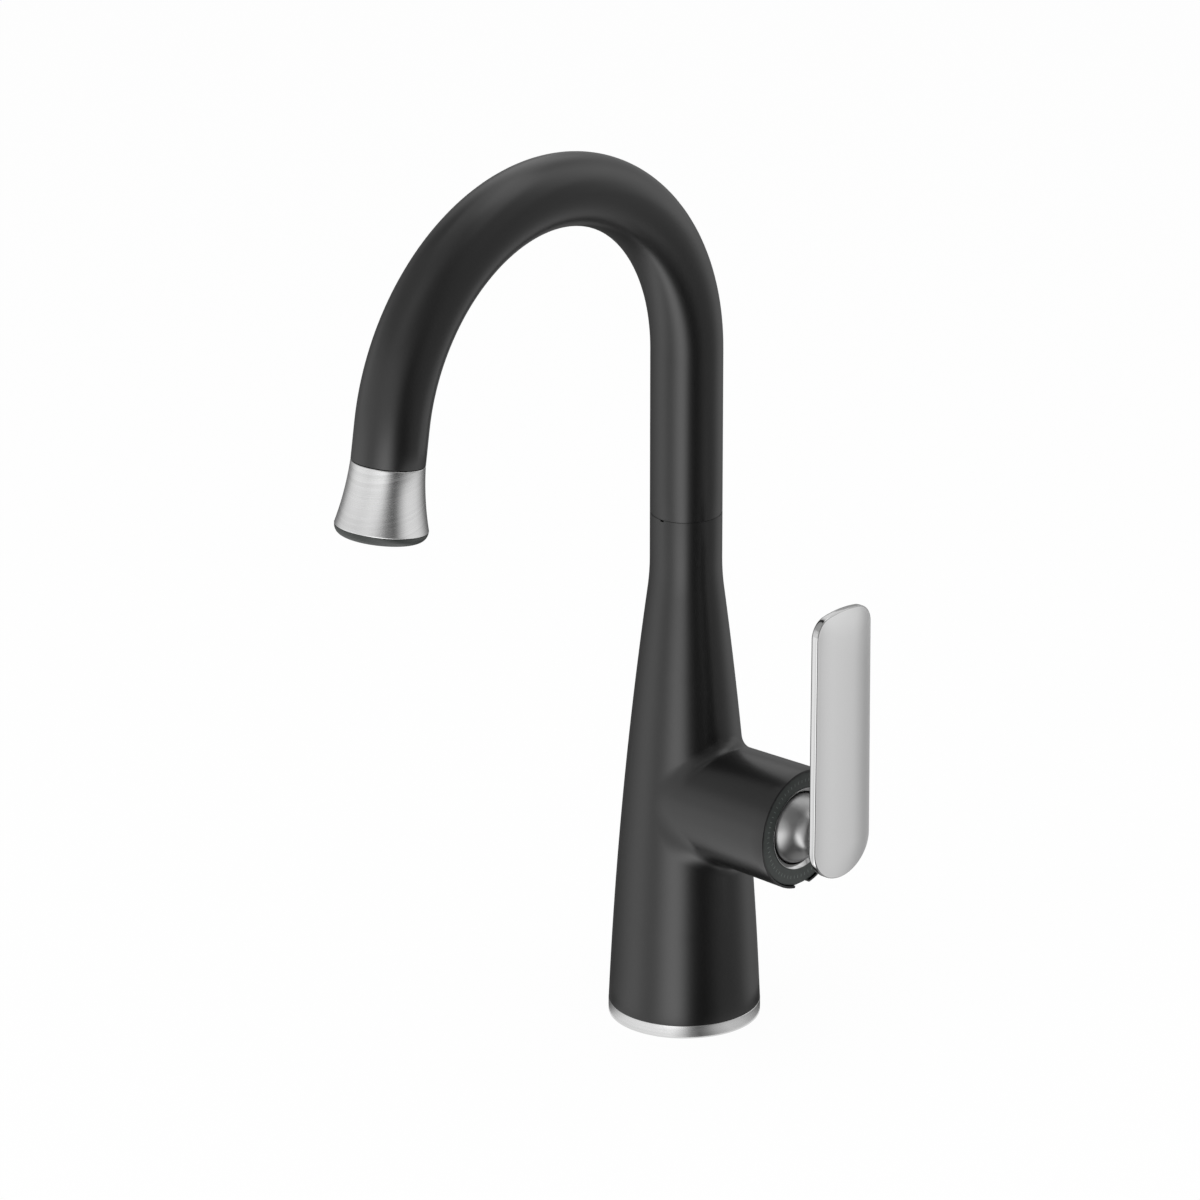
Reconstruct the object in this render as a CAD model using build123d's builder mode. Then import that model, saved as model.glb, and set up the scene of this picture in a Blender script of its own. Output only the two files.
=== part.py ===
"""Pull-down bar faucet with a side lever, as separate pieces in one frame.

Millimetres, +Z up. The origin is on the deck, on the axis of the body.
The spout reaches towards -Y and the lever stands on the +X side.
"""
import os
from math import atan2, cos, hypot, radians, sin, sqrt

from build123d import *

# Gooseneck spout: a bent tube that turns on the body
tube_diameter = 25.4
tube_wall = 1.5
arch_radius = 74.7
arch_angle = 170.85
arch_centre_height = 249.4
spout_straight_end = 12.6
seam_height = 189.5

# Body: a tapered casting with a boss for the valve on its +X side
base_diameter = 54.0
waist_diameter = 43.9
waist_height = 82.9
shoulder_diameter = 26.9
neck_length = 28.5
body_wall = 3.2
body_floor = 10.0
hub_height = 84.6
hub_diameter = 43.4
hub_reach = 55.0
hub_root_step = 1.0
hub_blend = 5.0
hub_lip_wall = 0.8
drain_notch_width = 7.6
drain_notch_length = 2.4
seam_notch_width = 1.5
seam_notch_height = 0.6
seam_notch_depth = 1.0

# Base ring and its gasket, on the deck
base_ring_step = 0.05
base_ring_height = 4.8
base_ring_bevel = 0.2
gasket_inner_diameter = 40.0
gasket_width = 4.0
gasket_height = 1.5

# Threaded shank and the clamp under the deck
shank_diameter = 34.0
shank_wall = 2.0
shank_drop = 56.0
deck_thickness = 30.0
washer_diameter = 52.0
rubber_washer_height = 3.0
steel_washer_height = 2.0
nut_drop = 3.0
nut_height = 8.0
nut_across_flats = 52.0
clamp_screw_count = 3
clamp_screw_diameter = 5.0
clamp_screw_circle = 43.0
clamp_screw_length = 21.0
clamp_screw_head_diameter = 8.4
clamp_screw_head_height = 4.0

# Water lines inside the shank
line_offset = 6.5
line_diameter = 6.4
line_wall = 0.9
line_bend = 8.0
hose_diameter = 9.2
hose_bore = 6.0
hose_bend = 50.0
hose_bend_low = 112.0
hose_bend_high = 135.0
fitting_diameter = 11.0
fitting_height = 14.0
fitting_gap = 2.0
inlet_thread_diameter = 9.0
inlet_thread_length = 7.0
line_socket_depth = 6.0

# Cartridge stack along the hub axis, from the seat outwards
cartridge_bore_diameter = 35.2
seat_reach = 19.0
seat_opening_diameter = 31.0
block_rear_diameter = 30.4
block_rear_length = 17.0
block_flange_length = 4.0
port_diameter = 4.8
inlet_port_drop = 5.5
outlet_port_rise = 8.5
port_seal_diameter = 8.4
port_seal_height = 1.2
port_seal_stand = 0.2
cartridge_diameter = 34.6
cartridge_base_length = 3.3
housing_wall = 2.1
housing_length = 16.0
housing_front = 1.5
fixed_disc_thickness = 3.5
moving_disc_diameter = 18.8
moving_disc_thickness = 2.95
mixing_pocket_diameter = 13.0
mixing_pocket_depth = 1.5
driver_diameter = 17.2
driver_thickness = 3.2
driver_pocket_floor = 0.4
rotor_disc_thickness = 4.0
rotor_neck_diameter = 18.4
rotor_pin_cover = 3.1
retaining_nut_length = 5.0
retaining_nut_bore = 28.8
sleeve_bore = 28.6
sleeve_lip_wall = 0.5
sleeve_lip_back = 0.4
trim_ring_width = 5.75
trim_ring_thickness = 2.9
trim_ring_recess = 0.6

# Lever: stem on its pivot pin, ball dome, neck and blade
stem_size = 5.0
stem_ball_diameter = 4.0
stem_ball_inset = 0.6
stem_reach = 18.0
stem_neck_diameter = 3.0
pivot_reach = 48.0
pivot_pin_diameter = 2.96
lever_tilt = 20.0
dome_diameter = 27.8
dome_wall = 1.6
dome_neck_angle = 42.0
neck_diameter = 14.8
neck_run = 4.17
neck_flare_diameter = 23.0
stem_boss_diameter = 12.0
stem_boss_reach = 6.5
neck_flare_run = 7.1
blade_edge_thickness = 3.4
blade_crown = 0.9
blade_width = 29.4
blade_tip_width = 28.4
blade_bottom_drop = 13.0
blade_length = 86.8
blade_corner = 7.5
blade_tip_rise = 2.1
blade_end_run = 14.0
set_screw_diameter = 4.0
set_screw_length = 4.0
screw_cap_thickness = 0.6

# Swivel bearing between the body and the spout
spigot_diameter = 19.2
spigot_bore = 14.0
spigot_rise = 24.0
swivel_bore_diameter = 20.4
swivel_bore_length = 39.5
spigot_tail = 4.0
thrust_washer_thickness = 0.4
thrust_washer_diameter = 25.0
upper_bush_length = 11.5
lower_bush_length = 7.5
o_ring_section = 1.6
o_ring_drop = 25.5
o_ring_spacing = 6.0
clip_diameter = 22.4
clip_thickness = 1.2
clip_groove_depth = 1.0
clip_gap = 5.0

# Spray head: docked on the end of the spout, measured along its axis
dock_gap = 0.25
dock_collar_bore = 17.6
dock_collar_start = 0.6
dock_collar_inset = 0.3
head_rim_diameter = 32.2
head_waist_diameter = 27.6
head_length = 22.45
head_wall = 1.1
core_neck_diameter = 17.0
core_neck_rise = 6.85
core_diameter = 22.4
core_length = 19.5
core_bore = 6.0
core_chamber_diameter = 19.0
core_chamber_depth = 2.5
hose_end = 5.0
ferrule_length = 5.0
ferrule_wall = 1.15
connector_diameter = 12.0
connector_length = 7.0
connector_seal_thickness = 1.2
check_valve_diameter = 8.8
check_valve_length = 8.0
nozzle_ring_height = 3.1
nozzle_ring_tip_diameter = 27.2
nozzle_ring_bore = 23.8
nozzle_ring_spigot = 1.8
spray_plate_diameter = 23.4
spray_plate_thickness = 4.0
nozzle_diameter = 1.4
nozzle_length = 2.4
nozzle_stand = 0.8
inner_nozzle_count = 6
inner_nozzle_circle = 8.0
outer_nozzle_count = 12
outer_nozzle_circle = 16.0
hose_tail_angle = 18.0

# Clearances
thread_clearance = 0.05
bush_clearance = 0.05
slip_clearance = 0.1
turn_clearance = 0.3
ring_gap = 0.3
face_gap = 0.05

# Places worked out from the sizes above
tube_radius = tube_diameter / 2
tube_bore_radius = tube_radius - tube_wall
base_radius = base_diameter / 2
base_ring_radius = base_radius + base_ring_step
shoulder_height = seam_height - neck_length
shank_radius = shank_diameter / 2
shank_bore_radius = shank_radius - shank_wall
hub_radius = hub_diameter / 2
spout_base = seam_height + thrust_washer_thickness
swivel_floor = seam_height - swivel_bore_length
floor_top = base_ring_height + body_floor
counterbore_radius = hub_radius - hub_lip_wall
counterbore_reach = hub_reach - trim_ring_recess - trim_ring_thickness
line_radius = line_diameter / 2
line_bore_radius = line_radius - line_wall
fitting_top = -shank_drop - fitting_gap
fitting_foot = fitting_top - fitting_height
line_foot = fitting_top - line_socket_depth
hot_line = (line_offset, line_offset)
cold_line = (line_offset, -line_offset)
outlet_line = (-line_offset, -line_offset)
hose_line = (-line_offset, line_offset)

# Cartridge stations along the hub axis
block_rear = seat_reach - block_rear_length
block_front = seat_reach + block_flange_length
base_rear = block_front + port_seal_stand
base_front = base_rear + cartridge_base_length
fixed_disc_front = base_front + fixed_disc_thickness
moving_disc_rear = fixed_disc_front + face_gap
driver_rear = moving_disc_rear + moving_disc_thickness
driver_front = driver_rear + driver_thickness
rotor_rear = driver_front + turn_clearance
rotor_shoulder = rotor_rear + rotor_disc_thickness
rotor_front = pivot_reach + rotor_pin_cover
stem_arm = pivot_reach - driver_front + stem_ball_inset
housing_front_face = base_front + housing_length
housing_bore_radius = cartridge_diameter / 2 - housing_wall
nut_front = housing_front_face + retaining_nut_length
ports = (
    (line_offset, -inlet_port_drop),
    (-line_offset, -inlet_port_drop),
    (0, outlet_port_rise),
)

# Spray head axis and its stations, counted from the end of the arch
arch_end = Vector(
    0,
    -arch_radius + arch_radius * cos(radians(arch_angle)),
    arch_centre_height + arch_radius * sin(radians(arch_angle)),
)
head_axis = Vector(0, -sin(radians(arch_angle)), cos(radians(arch_angle)))
head_top = spout_straight_end + dock_gap
head_rim = head_top + head_length
flange_bottom = head_top + head_wall
core_neck_top = head_top - core_neck_rise
core_foot = flange_bottom + core_length
connector_end = hose_end + connector_length
nozzle_top = head_rim + face_gap
nozzle_tip = nozzle_top + nozzle_ring_height


def hub_plane(reach):
    """A plane across the hub axis: its x is +Y, its y is +Z, its normal +X."""
    return Plane(origin=(reach, 0, hub_height), x_dir=(0, 1, 0), z_dir=(1, 0, 0))


def head_plane(station):
    """A plane across the spray head's axis, facing down it."""
    return Plane(origin=arch_end + head_axis * station, x_dir=(1, 0, 0), z_dir=head_axis)


hub_axis = Axis((0, 0, hub_height), (1, 0, 0))
head_turning_axis = Axis(arch_end, head_axis)
head_profile_plane = Plane(
    origin=arch_end, x_dir=(1, 0, 0), z_dir=(0, -head_axis.Z, head_axis.Y)
)


def ring(plane, outer_diameter, inner_diameter, length):
    """A plain ring or tube that stands on a plane."""
    with BuildPart() as piece:
        with BuildSketch(plane):
            Circle(outer_diameter / 2)
            Circle(inner_diameter / 2, mode=Mode.SUBTRACT)
        extrude(amount=length)
    return piece


def bent_tube(points, bend_radius, outer_diameter, inner_diameter):
    """A round tube along straight runs that are joined by bends."""
    with BuildPart() as piece:
        with BuildLine() as route:
            FilletPolyline(*points, radius=bend_radius)
        with BuildSketch(Plane(origin=route.wire() @ 0, z_dir=route.wire() % 0)):
            Circle(outer_diameter / 2)
            Circle(inner_diameter / 2, mode=Mode.SUBTRACT)
        sweep(path=route.wire())
    return piece


# The side of the body is one large arc through the base, the waist and the shoulder
def arc_through(first, second, third):
    """Centre and radius of the circle through three (radius, height) points."""
    (ax, ay), (bx, by), (cx, cy) = first, second, third
    d = 2 * (ax * (by - cy) + bx * (cy - ay) + cx * (ay - by))
    a2, b2, c2 = ax * ax + ay * ay, bx * bx + by * by, cx * cx + cy * cy
    x = (a2 * (by - cy) + b2 * (cy - ay) + c2 * (ay - by)) / d
    y = (a2 * (cx - bx) + b2 * (ax - cx) + c2 * (bx - ax)) / d
    return x, y, hypot(ax - x, ay - y)


side_x, side_z, side_radius = arc_through(
    (base_radius, base_ring_height),
    (waist_diameter / 2, waist_height),
    (shoulder_diameter / 2, shoulder_height),
)


def body_radius(height, inset=0.0):
    """Radius of the body's side at a height, or of a surface inset from it."""
    return side_x + sqrt((side_radius - inset) ** 2 - (height - side_z) ** 2)


shoulder_angle = atan2(shoulder_height - side_z, shoulder_diameter / 2 - side_x)
collar_radius = (shoulder_diameter / 2 - tube_radius) / (1 - cos(shoulder_angle))
collar_height = shoulder_height + collar_radius * sin(shoulder_angle)
cavity_middle = (floor_top + swivel_floor) / 2

# Body shell: one black casting with its boss, cavity and bores
with BuildPart() as body_shell:
    with BuildSketch(Plane.XZ):
        with BuildLine():
            side = ThreePointArc(
                (-base_radius, base_ring_height),
                (-waist_diameter / 2, waist_height),
                (-shoulder_diameter / 2, shoulder_height),
            )
            TangentArc(side @ 1, (-tube_radius, collar_height), tangent=side % 1)
            Polyline(
                (-tube_radius, collar_height),
                (-tube_radius, seam_height),
                (0, seam_height),
                (0, base_ring_height),
                side @ 0,
            )
        make_face()
    revolve(axis=Axis.Z)
    plain_edges = body_shell.edges()
    with BuildSketch(Plane.XZ):
        with BuildLine():
            Polyline(
                (0, hub_height),
                (hub_reach, hub_height),
                (hub_reach, hub_height - hub_radius),
                (0, hub_height - body_radius(hub_height) + hub_root_step),
                close=True,
            )
        make_face()
    revolve(axis=hub_axis)
    root_edges = body_shell.edges() - plain_edges
    fillet(root_edges.filter_by(GeomType.BSPLINE), radius=hub_blend)
    with BuildSketch(Plane.XZ):
        with BuildLine():
            Polyline(
                (body_radius(floor_top, body_wall), floor_top),
                (0, floor_top),
                (0, swivel_floor),
                (body_radius(swivel_floor, body_wall), swivel_floor),
            )
            ThreePointArc(
                (body_radius(swivel_floor, body_wall), swivel_floor),
                (body_radius(cavity_middle, body_wall), cavity_middle),
                (body_radius(floor_top, body_wall), floor_top),
            )
        make_face()
    revolve(axis=Axis.Z, mode=Mode.SUBTRACT)
    with BuildSketch(Plane.XY.offset(swivel_floor)):
        Circle(swivel_bore_diameter / 2)
    extrude(amount=swivel_bore_length, mode=Mode.SUBTRACT)
    with BuildSketch(Plane.XY.offset(base_ring_height)):
        Circle(shank_radius + thread_clearance)
    extrude(amount=body_floor, mode=Mode.SUBTRACT)
    with BuildSketch(hub_plane(0)):
        Circle(seat_opening_diameter / 2)
    extrude(amount=seat_reach, mode=Mode.SUBTRACT)
    with BuildSketch(hub_plane(seat_reach)):
        Circle(cartridge_bore_diameter / 2)
    extrude(amount=hub_reach - seat_reach, mode=Mode.SUBTRACT)
    with BuildSketch(hub_plane(counterbore_reach)):
        Circle(counterbore_radius)
    extrude(amount=hub_reach - counterbore_reach, mode=Mode.SUBTRACT)
    with BuildSketch(hub_plane(hub_reach - drain_notch_length)):
        with Locations((0, -hub_radius)):
            Rectangle(drain_notch_width, 2 * hub_lip_wall)
    extrude(amount=drain_notch_length, mode=Mode.SUBTRACT)
    with BuildSketch(Plane.XY.offset(seam_height - seam_notch_height)):
        with Locations((0, -tube_radius)):
            Rectangle(seam_notch_width, 2 * seam_notch_depth)
    extrude(amount=seam_notch_height, mode=Mode.SUBTRACT)

# Base ring with a bevelled top edge and a groove for the gasket
with BuildPart() as base_ring:
    with BuildSketch():
        Circle(base_ring_radius)
    extrude(amount=base_ring_height)
    chamfer(base_ring.edges().group_by(Axis.Z)[-1], length=base_ring_bevel)
    with BuildSketch():
        Circle(shank_radius + turn_clearance)
    extrude(amount=base_ring_height, mode=Mode.SUBTRACT)
    with BuildSketch():
        Circle(gasket_inner_diameter / 2 + gasket_width)
        Circle(gasket_inner_diameter / 2, mode=Mode.SUBTRACT)
    extrude(amount=gasket_height, mode=Mode.SUBTRACT)

base_gasket = ring(
    Plane.XY, gasket_inner_diameter + 2 * gasket_width, gasket_inner_diameter, gasket_height
)

# Shank and the clamp below the deck
mounting_shank = ring(
    Plane.XY.offset(-shank_drop), shank_diameter, 2 * shank_bore_radius, shank_drop + floor_top
)
rubber_washer_foot = -deck_thickness - rubber_washer_height
rubber_washer = ring(
    Plane.XY.offset(rubber_washer_foot),
    washer_diameter,
    shank_diameter + 2 * turn_clearance,
    rubber_washer_height,
)
steel_washer_foot = rubber_washer_foot - steel_washer_height
clamp_washer = ring(
    Plane.XY.offset(steel_washer_foot),
    washer_diameter,
    shank_diameter + 2 * turn_clearance,
    steel_washer_height,
)
nut_top = steel_washer_foot - nut_drop

with BuildPart() as mounting_nut:
    with BuildSketch(Plane.XY.offset(nut_top - nut_height)):
        RegularPolygon(nut_across_flats / 2, 6, major_radius=False)
        Circle(shank_radius + thread_clearance, mode=Mode.SUBTRACT)
        with PolarLocations(clamp_screw_circle / 2, clamp_screw_count):
            Circle(clamp_screw_diameter / 2 + thread_clearance, mode=Mode.SUBTRACT)
    extrude(amount=nut_height)

with BuildPart() as clamp_screws:
    with BuildSketch(Plane.XY.offset(steel_washer_foot - clamp_screw_length)):
        with PolarLocations(clamp_screw_circle / 2, clamp_screw_count):
            Circle(clamp_screw_diameter / 2)
    extrude(amount=clamp_screw_length)
    with BuildSketch(Plane.XY.offset(steel_washer_foot - clamp_screw_length)):
        with PolarLocations(clamp_screw_circle / 2, clamp_screw_count):
            Circle(clamp_screw_head_diameter / 2)
    extrude(amount=-clamp_screw_head_height)

# Valve block: feeds the cartridge from the two supply lines and sends mixed water down
inlet_level = hub_height - inlet_port_drop
outlet_level = hub_height + outlet_port_rise
outlet_cross = block_rear + line_socket_depth + port_diameter / 2
with BuildPart() as valve_block:
    with BuildSketch(hub_plane(block_rear)):
        Circle(block_rear_diameter / 2)
    extrude(amount=block_rear_length)
    with BuildSketch(hub_plane(seat_reach)):
        Circle(cartridge_bore_diameter / 2 - slip_clearance)
    extrude(amount=block_flange_length)
    for line in (hot_line, cold_line):
        with BuildSketch(Plane.XY.offset(hub_height - block_rear_diameter / 2)):
            with Locations(line):
                Circle(line_radius + thread_clearance)
        extrude(amount=line_socket_depth, mode=Mode.SUBTRACT)
        with BuildSketch(Plane.XY.offset(inlet_level)):
            with Locations(line):
                Circle(port_diameter / 2)
        extrude(amount=-line_socket_depth, mode=Mode.SUBTRACT)
        with BuildSketch(hub_plane(line[0])):
            with Locations((line[1], -inlet_port_drop)):
                Circle(port_diameter / 2)
        extrude(amount=block_front - line[0], mode=Mode.SUBTRACT)
    with BuildSketch(hub_plane(block_rear)):
        with Locations((outlet_line[1], outlet_port_rise)):
            Circle(line_radius + thread_clearance)
    extrude(amount=line_socket_depth, mode=Mode.SUBTRACT)
    with BuildSketch(hub_plane(block_rear)):
        with Locations((outlet_line[1], outlet_port_rise)):
            Circle(port_diameter / 2)
    extrude(amount=outlet_cross - block_rear, mode=Mode.SUBTRACT)
    with BuildSketch(Plane.XZ):
        with Locations((outlet_cross, outlet_level)):
            Circle(port_diameter / 2)
    extrude(amount=-outlet_line[1], mode=Mode.SUBTRACT)
    with BuildSketch(hub_plane(outlet_cross)):
        with Locations((0, outlet_port_rise)):
            Circle(port_diameter / 2)
    extrude(amount=block_front - outlet_cross, mode=Mode.SUBTRACT)


def supply_line(line):
    """A straight copper line from its fitting up into the valve block."""
    socket_top = hub_height - block_rear_diameter / 2 + line_socket_depth
    return ring(
        Plane.XY.offset(line_foot).move(Location((*line, 0))),
        line_diameter,
        2 * line_bore_radius,
        socket_top - face_gap - line_foot,
    )


def line_fitting(line, upper_diameter):
    """A hexagon fitting under the shank, with a thread for what screws in from below."""
    with BuildPart() as piece:
        with BuildSketch(Plane.XY.offset(fitting_foot)):
            with Locations(line):
                RegularPolygon(fitting_diameter / 2, 6, major_radius=False)
        extrude(amount=fitting_height)
        with BuildSketch(Plane.XY.offset(fitting_foot)):
            with Locations(line):
                Circle(inlet_thread_diameter / 2)
        extrude(amount=inlet_thread_length, mode=Mode.SUBTRACT)
        with BuildSketch(Plane.XY.offset(line_foot)):
            with Locations(line):
                Circle(upper_diameter / 2 + thread_clearance)
        extrude(amount=line_socket_depth, mode=Mode.SUBTRACT)
        with BuildSketch(Plane.XY.offset(fitting_foot)):
            with Locations(line):
                Circle(line_bore_radius)
        extrude(amount=fitting_height, mode=Mode.SUBTRACT)
    return piece


hot_line_tube = supply_line(hot_line)
cold_line_tube = supply_line(cold_line)
hot_inlet_fitting = line_fitting(hot_line, line_diameter)
cold_inlet_fitting = line_fitting(cold_line, line_diameter)
outlet_fitting = line_fitting(outlet_line, line_diameter)
hose_coupling = line_fitting(hose_line, hose_diameter)
outlet_line_tube = bent_tube(
    (
        (*outlet_line, line_foot),
        (*outlet_line, outlet_level),
        (block_rear + line_socket_depth - face_gap, outlet_line[1], outlet_level),
    ),
    line_bend,
    line_diameter,
    2 * line_bore_radius,
)

# Hose in the body: up beside the valve, then over to the axis that the spout turns on
lower_hose = bent_tube(
    (
        (*hose_line, line_foot),
        (*hose_line, hose_bend_low),
        (0, 0, hose_bend_high),
        (0, 0, seam_height),
    ),
    hose_bend,
    hose_diameter,
    hose_bore,
)

# Cartridge: base, seals, ceramic discs, driver, rotor and housing
with BuildPart() as cartridge_base:
    with BuildSketch(hub_plane(base_rear)):
        Circle(cartridge_diameter / 2)
        with Locations(*ports):
            Circle(port_diameter / 2, mode=Mode.SUBTRACT)
    extrude(amount=cartridge_base_length)
    with BuildSketch(hub_plane(base_rear)):
        with Locations(*ports):
            Circle(port_seal_diameter / 2 + slip_clearance)
    extrude(amount=port_seal_height - port_seal_stand, mode=Mode.SUBTRACT)

with BuildPart() as port_seals:
    with BuildSketch(hub_plane(block_front)):
        with Locations(*ports):
            Circle(port_seal_diameter / 2)
            Circle(port_diameter / 2, mode=Mode.SUBTRACT)
    extrude(amount=port_seal_height)

with BuildPart() as cartridge_housing:
    with BuildSketch(hub_plane(base_front)):
        Circle(cartridge_diameter / 2)
    extrude(amount=housing_length)
    with BuildSketch(hub_plane(base_front)):
        Circle(housing_bore_radius)
    extrude(amount=housing_length - housing_front, mode=Mode.SUBTRACT)
    with BuildSketch(hub_plane(base_front)):
        Circle(rotor_neck_diameter / 2 + turn_clearance)
    extrude(amount=housing_length, mode=Mode.SUBTRACT)

with BuildPart() as fixed_disc:
    with BuildSketch(hub_plane(base_front)):
        Circle(housing_bore_radius - turn_clearance)
        with Locations(*ports):
            Circle(port_diameter / 2, mode=Mode.SUBTRACT)
    extrude(amount=fixed_disc_thickness)

with BuildPart() as moving_disc:
    with BuildSketch(hub_plane(moving_disc_rear)):
        Circle(moving_disc_diameter / 2)
    extrude(amount=moving_disc_thickness)
    with BuildSketch(hub_plane(moving_disc_rear)):
        Circle(mixing_pocket_diameter / 2)
    extrude(amount=mixing_pocket_depth, mode=Mode.SUBTRACT)

with BuildPart() as disc_driver:
    with BuildSketch(hub_plane(driver_rear)):
        Circle(driver_diameter / 2)
    extrude(amount=driver_thickness)
    with BuildSketch(hub_plane(driver_rear + driver_pocket_floor)):
        Circle(stem_ball_diameter / 2 + turn_clearance)
    extrude(amount=driver_thickness, mode=Mode.SUBTRACT)

# The slot lets the stem tilt to its limit at the rotor's rear and front faces
slot_reach = max(pivot_reach - rotor_rear, rotor_front - pivot_reach)
slot_half = (
    slot_reach * sin(radians(lever_tilt))
    + stem_size / 2 / cos(radians(lever_tilt))
    + turn_clearance
)
with BuildPart() as cartridge_rotor:
    with BuildSketch(hub_plane(rotor_rear)):
        Circle(housing_bore_radius - turn_clearance)
    extrude(amount=rotor_disc_thickness)
    with BuildSketch(hub_plane(rotor_shoulder)):
        Circle(rotor_neck_diameter / 2)
    extrude(amount=rotor_front - rotor_shoulder)
    with BuildSketch(hub_plane(rotor_rear)):
        Rectangle(stem_size + 2 * turn_clearance, 2 * slot_half)
    extrude(amount=rotor_front - rotor_rear, mode=Mode.SUBTRACT)
    with BuildSketch(Plane.XZ):
        with Locations((pivot_reach, hub_height)):
            Circle(pivot_pin_diameter / 2 + bush_clearance)
    extrude(amount=rotor_neck_diameter, both=True, mode=Mode.SUBTRACT)

with BuildPart() as pivot_pin:
    with BuildSketch(Plane.XZ):
        with Locations((pivot_reach, hub_height)):
            Circle(pivot_pin_diameter / 2)
    extrude(amount=rotor_neck_diameter / 2 - turn_clearance, both=True)

retaining_nut = ring(
    hub_plane(housing_front_face),
    cartridge_bore_diameter - 2 * slip_clearance,
    retaining_nut_bore,
    retaining_nut_length,
)

# Polished sleeve: a flange behind the trim ring and a thin lip through it
sleeve_lip_radius = sleeve_bore / 2 + sleeve_lip_wall
with BuildPart() as trim_sleeve:
    with BuildSketch(hub_plane(nut_front)):
        Circle(cartridge_bore_diameter / 2 - slip_clearance)
    extrude(amount=counterbore_reach - nut_front - slip_clearance)
    with BuildSketch(hub_plane(nut_front)):
        Circle(sleeve_lip_radius)
    extrude(amount=hub_reach - trim_ring_recess - sleeve_lip_back - nut_front)
    with BuildSketch(hub_plane(nut_front)):
        Circle(sleeve_bore / 2)
    extrude(amount=hub_reach - nut_front, mode=Mode.SUBTRACT)

trim_ring_diameter = 2 * (counterbore_radius - ring_gap)
trim_ring = ring(
    hub_plane(counterbore_reach),
    trim_ring_diameter,
    trim_ring_diameter - 2 * trim_ring_width,
    trim_ring_thickness,
)

# Lever: a ball dome turns in the sleeve, and its neck carries the blade
dome_radius = dome_diameter / 2
dome_bore_radius = dome_radius - dome_wall
neck_angle = radians(dome_neck_angle)
dome_end = (
    pivot_reach + dome_radius * cos(neck_angle),
    hub_height + dome_radius * sin(neck_angle),
)
neck_reach = dome_end[0] + neck_run
blade_back_reach = neck_reach + neck_flare_run
boss_radius = stem_boss_diameter / 2
boss_rear = pivot_reach + stem_boss_reach
hollow_front = pivot_reach + sqrt(dome_bore_radius**2 - boss_radius**2)
blade_root = blade_back_reach + blade_edge_thickness / 2
blade_face = blade_back_reach + blade_edge_thickness + blade_crown
crown_radius = (blade_width**2 / 4 + blade_crown**2) / (2 * blade_crown)
stem_front = pivot_reach + stem_reach
neck_waist = neck_diameter / 2
with BuildPart() as lever_handle:
    with BuildSketch(hub_plane(blade_back_reach)) as blade_outline:
        Ellipse(blade_width / 2, blade_bottom_drop)
        with BuildLine():
            tip_shoulder = blade_length - blade_tip_rise
            Polyline(
                (-blade_tip_width / 2, tip_shoulder),
                (-blade_width / 2, 0),
                (blade_width / 2, 0),
                (blade_tip_width / 2, tip_shoulder),
            )
            ThreePointArc(
                (blade_tip_width / 2, tip_shoulder),
                (0, blade_length),
                (-blade_tip_width / 2, tip_shoulder),
            )
        make_face()
        fillet(blade_outline.vertices().group_by(Axis.Y)[-1], radius=blade_corner)
    extrude(amount=blade_edge_thickness + blade_crown)
    with BuildSketch(Plane.XY.offset(hub_height - blade_bottom_drop)):
        with Locations((blade_face - crown_radius, 0)):
            Circle(crown_radius)
    extrude(amount=blade_bottom_drop + blade_length, mode=Mode.INTERSECT)
    with BuildSketch(Plane.XZ):
        with BuildLine():
            blade_foot = hub_height - blade_bottom_drop
            blade_top = hub_height + blade_length
            blade_edge = blade_back_reach + blade_edge_thickness
            foot_fall = TangentArc(
                (blade_face, blade_foot + blade_end_run), (blade_edge, blade_foot), tangent=(0, -1)
            )
            tip_fall = TangentArc(
                (blade_face, blade_top - blade_end_run), (blade_edge, blade_top), tangent=(0, 1)
            )
            Line(foot_fall @ 0, tip_fall @ 0)
            Polyline(
                foot_fall @ 1,
                (blade_back_reach, blade_foot),
                (blade_back_reach, blade_top),
                tip_fall @ 1,
            )
        make_face()
    extrude(amount=blade_width, both=True, mode=Mode.INTERSECT)
    with BuildSketch(Plane.XZ):
        with BuildLine():
            ThreePointArc(
                (pivot_reach, hub_height + dome_radius),
                (
                    pivot_reach + dome_radius * cos((radians(90) + neck_angle) / 2),
                    hub_height + dome_radius * sin((radians(90) + neck_angle) / 2),
                ),
                dome_end,
            )
            fall = TangentArc(
                dome_end,
                (neck_reach, hub_height + neck_waist),
                tangent=(sin(neck_angle), -cos(neck_angle)),
            )
            flare = TangentArc(
                fall @ 1,
                (blade_back_reach, hub_height + neck_flare_diameter / 2),
                tangent=fall % 1,
            )
            Polyline(
                flare @ 1,
                (blade_root, hub_height + neck_flare_diameter / 2),
                (blade_root, hub_height),
                (boss_rear, hub_height),
                (boss_rear, hub_height + boss_radius),
                (hollow_front, hub_height + boss_radius),
            )
            ThreePointArc(
                (hollow_front, hub_height + boss_radius),
                (
                    pivot_reach + dome_bore_radius * sqrt(0.5),
                    hub_height + dome_bore_radius * sqrt(0.5),
                ),
                (pivot_reach, hub_height + dome_bore_radius),
            )
            Line(
                (pivot_reach, hub_height + dome_bore_radius),
                (pivot_reach, hub_height + dome_radius),
            )
        make_face()
    revolve(axis=hub_axis)
    with BuildSketch(hub_plane(boss_rear)):
        Rectangle(stem_size + 2 * slip_clearance, stem_size + 2 * slip_clearance)
    extrude(amount=stem_front + slip_clearance - boss_rear, mode=Mode.SUBTRACT)
    with BuildSketch(Plane.XY.offset(hub_height)):
        with Locations((neck_reach, 0)):
            Circle(set_screw_diameter / 2 + thread_clearance)
    extrude(amount=-dome_radius, mode=Mode.SUBTRACT)

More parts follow.
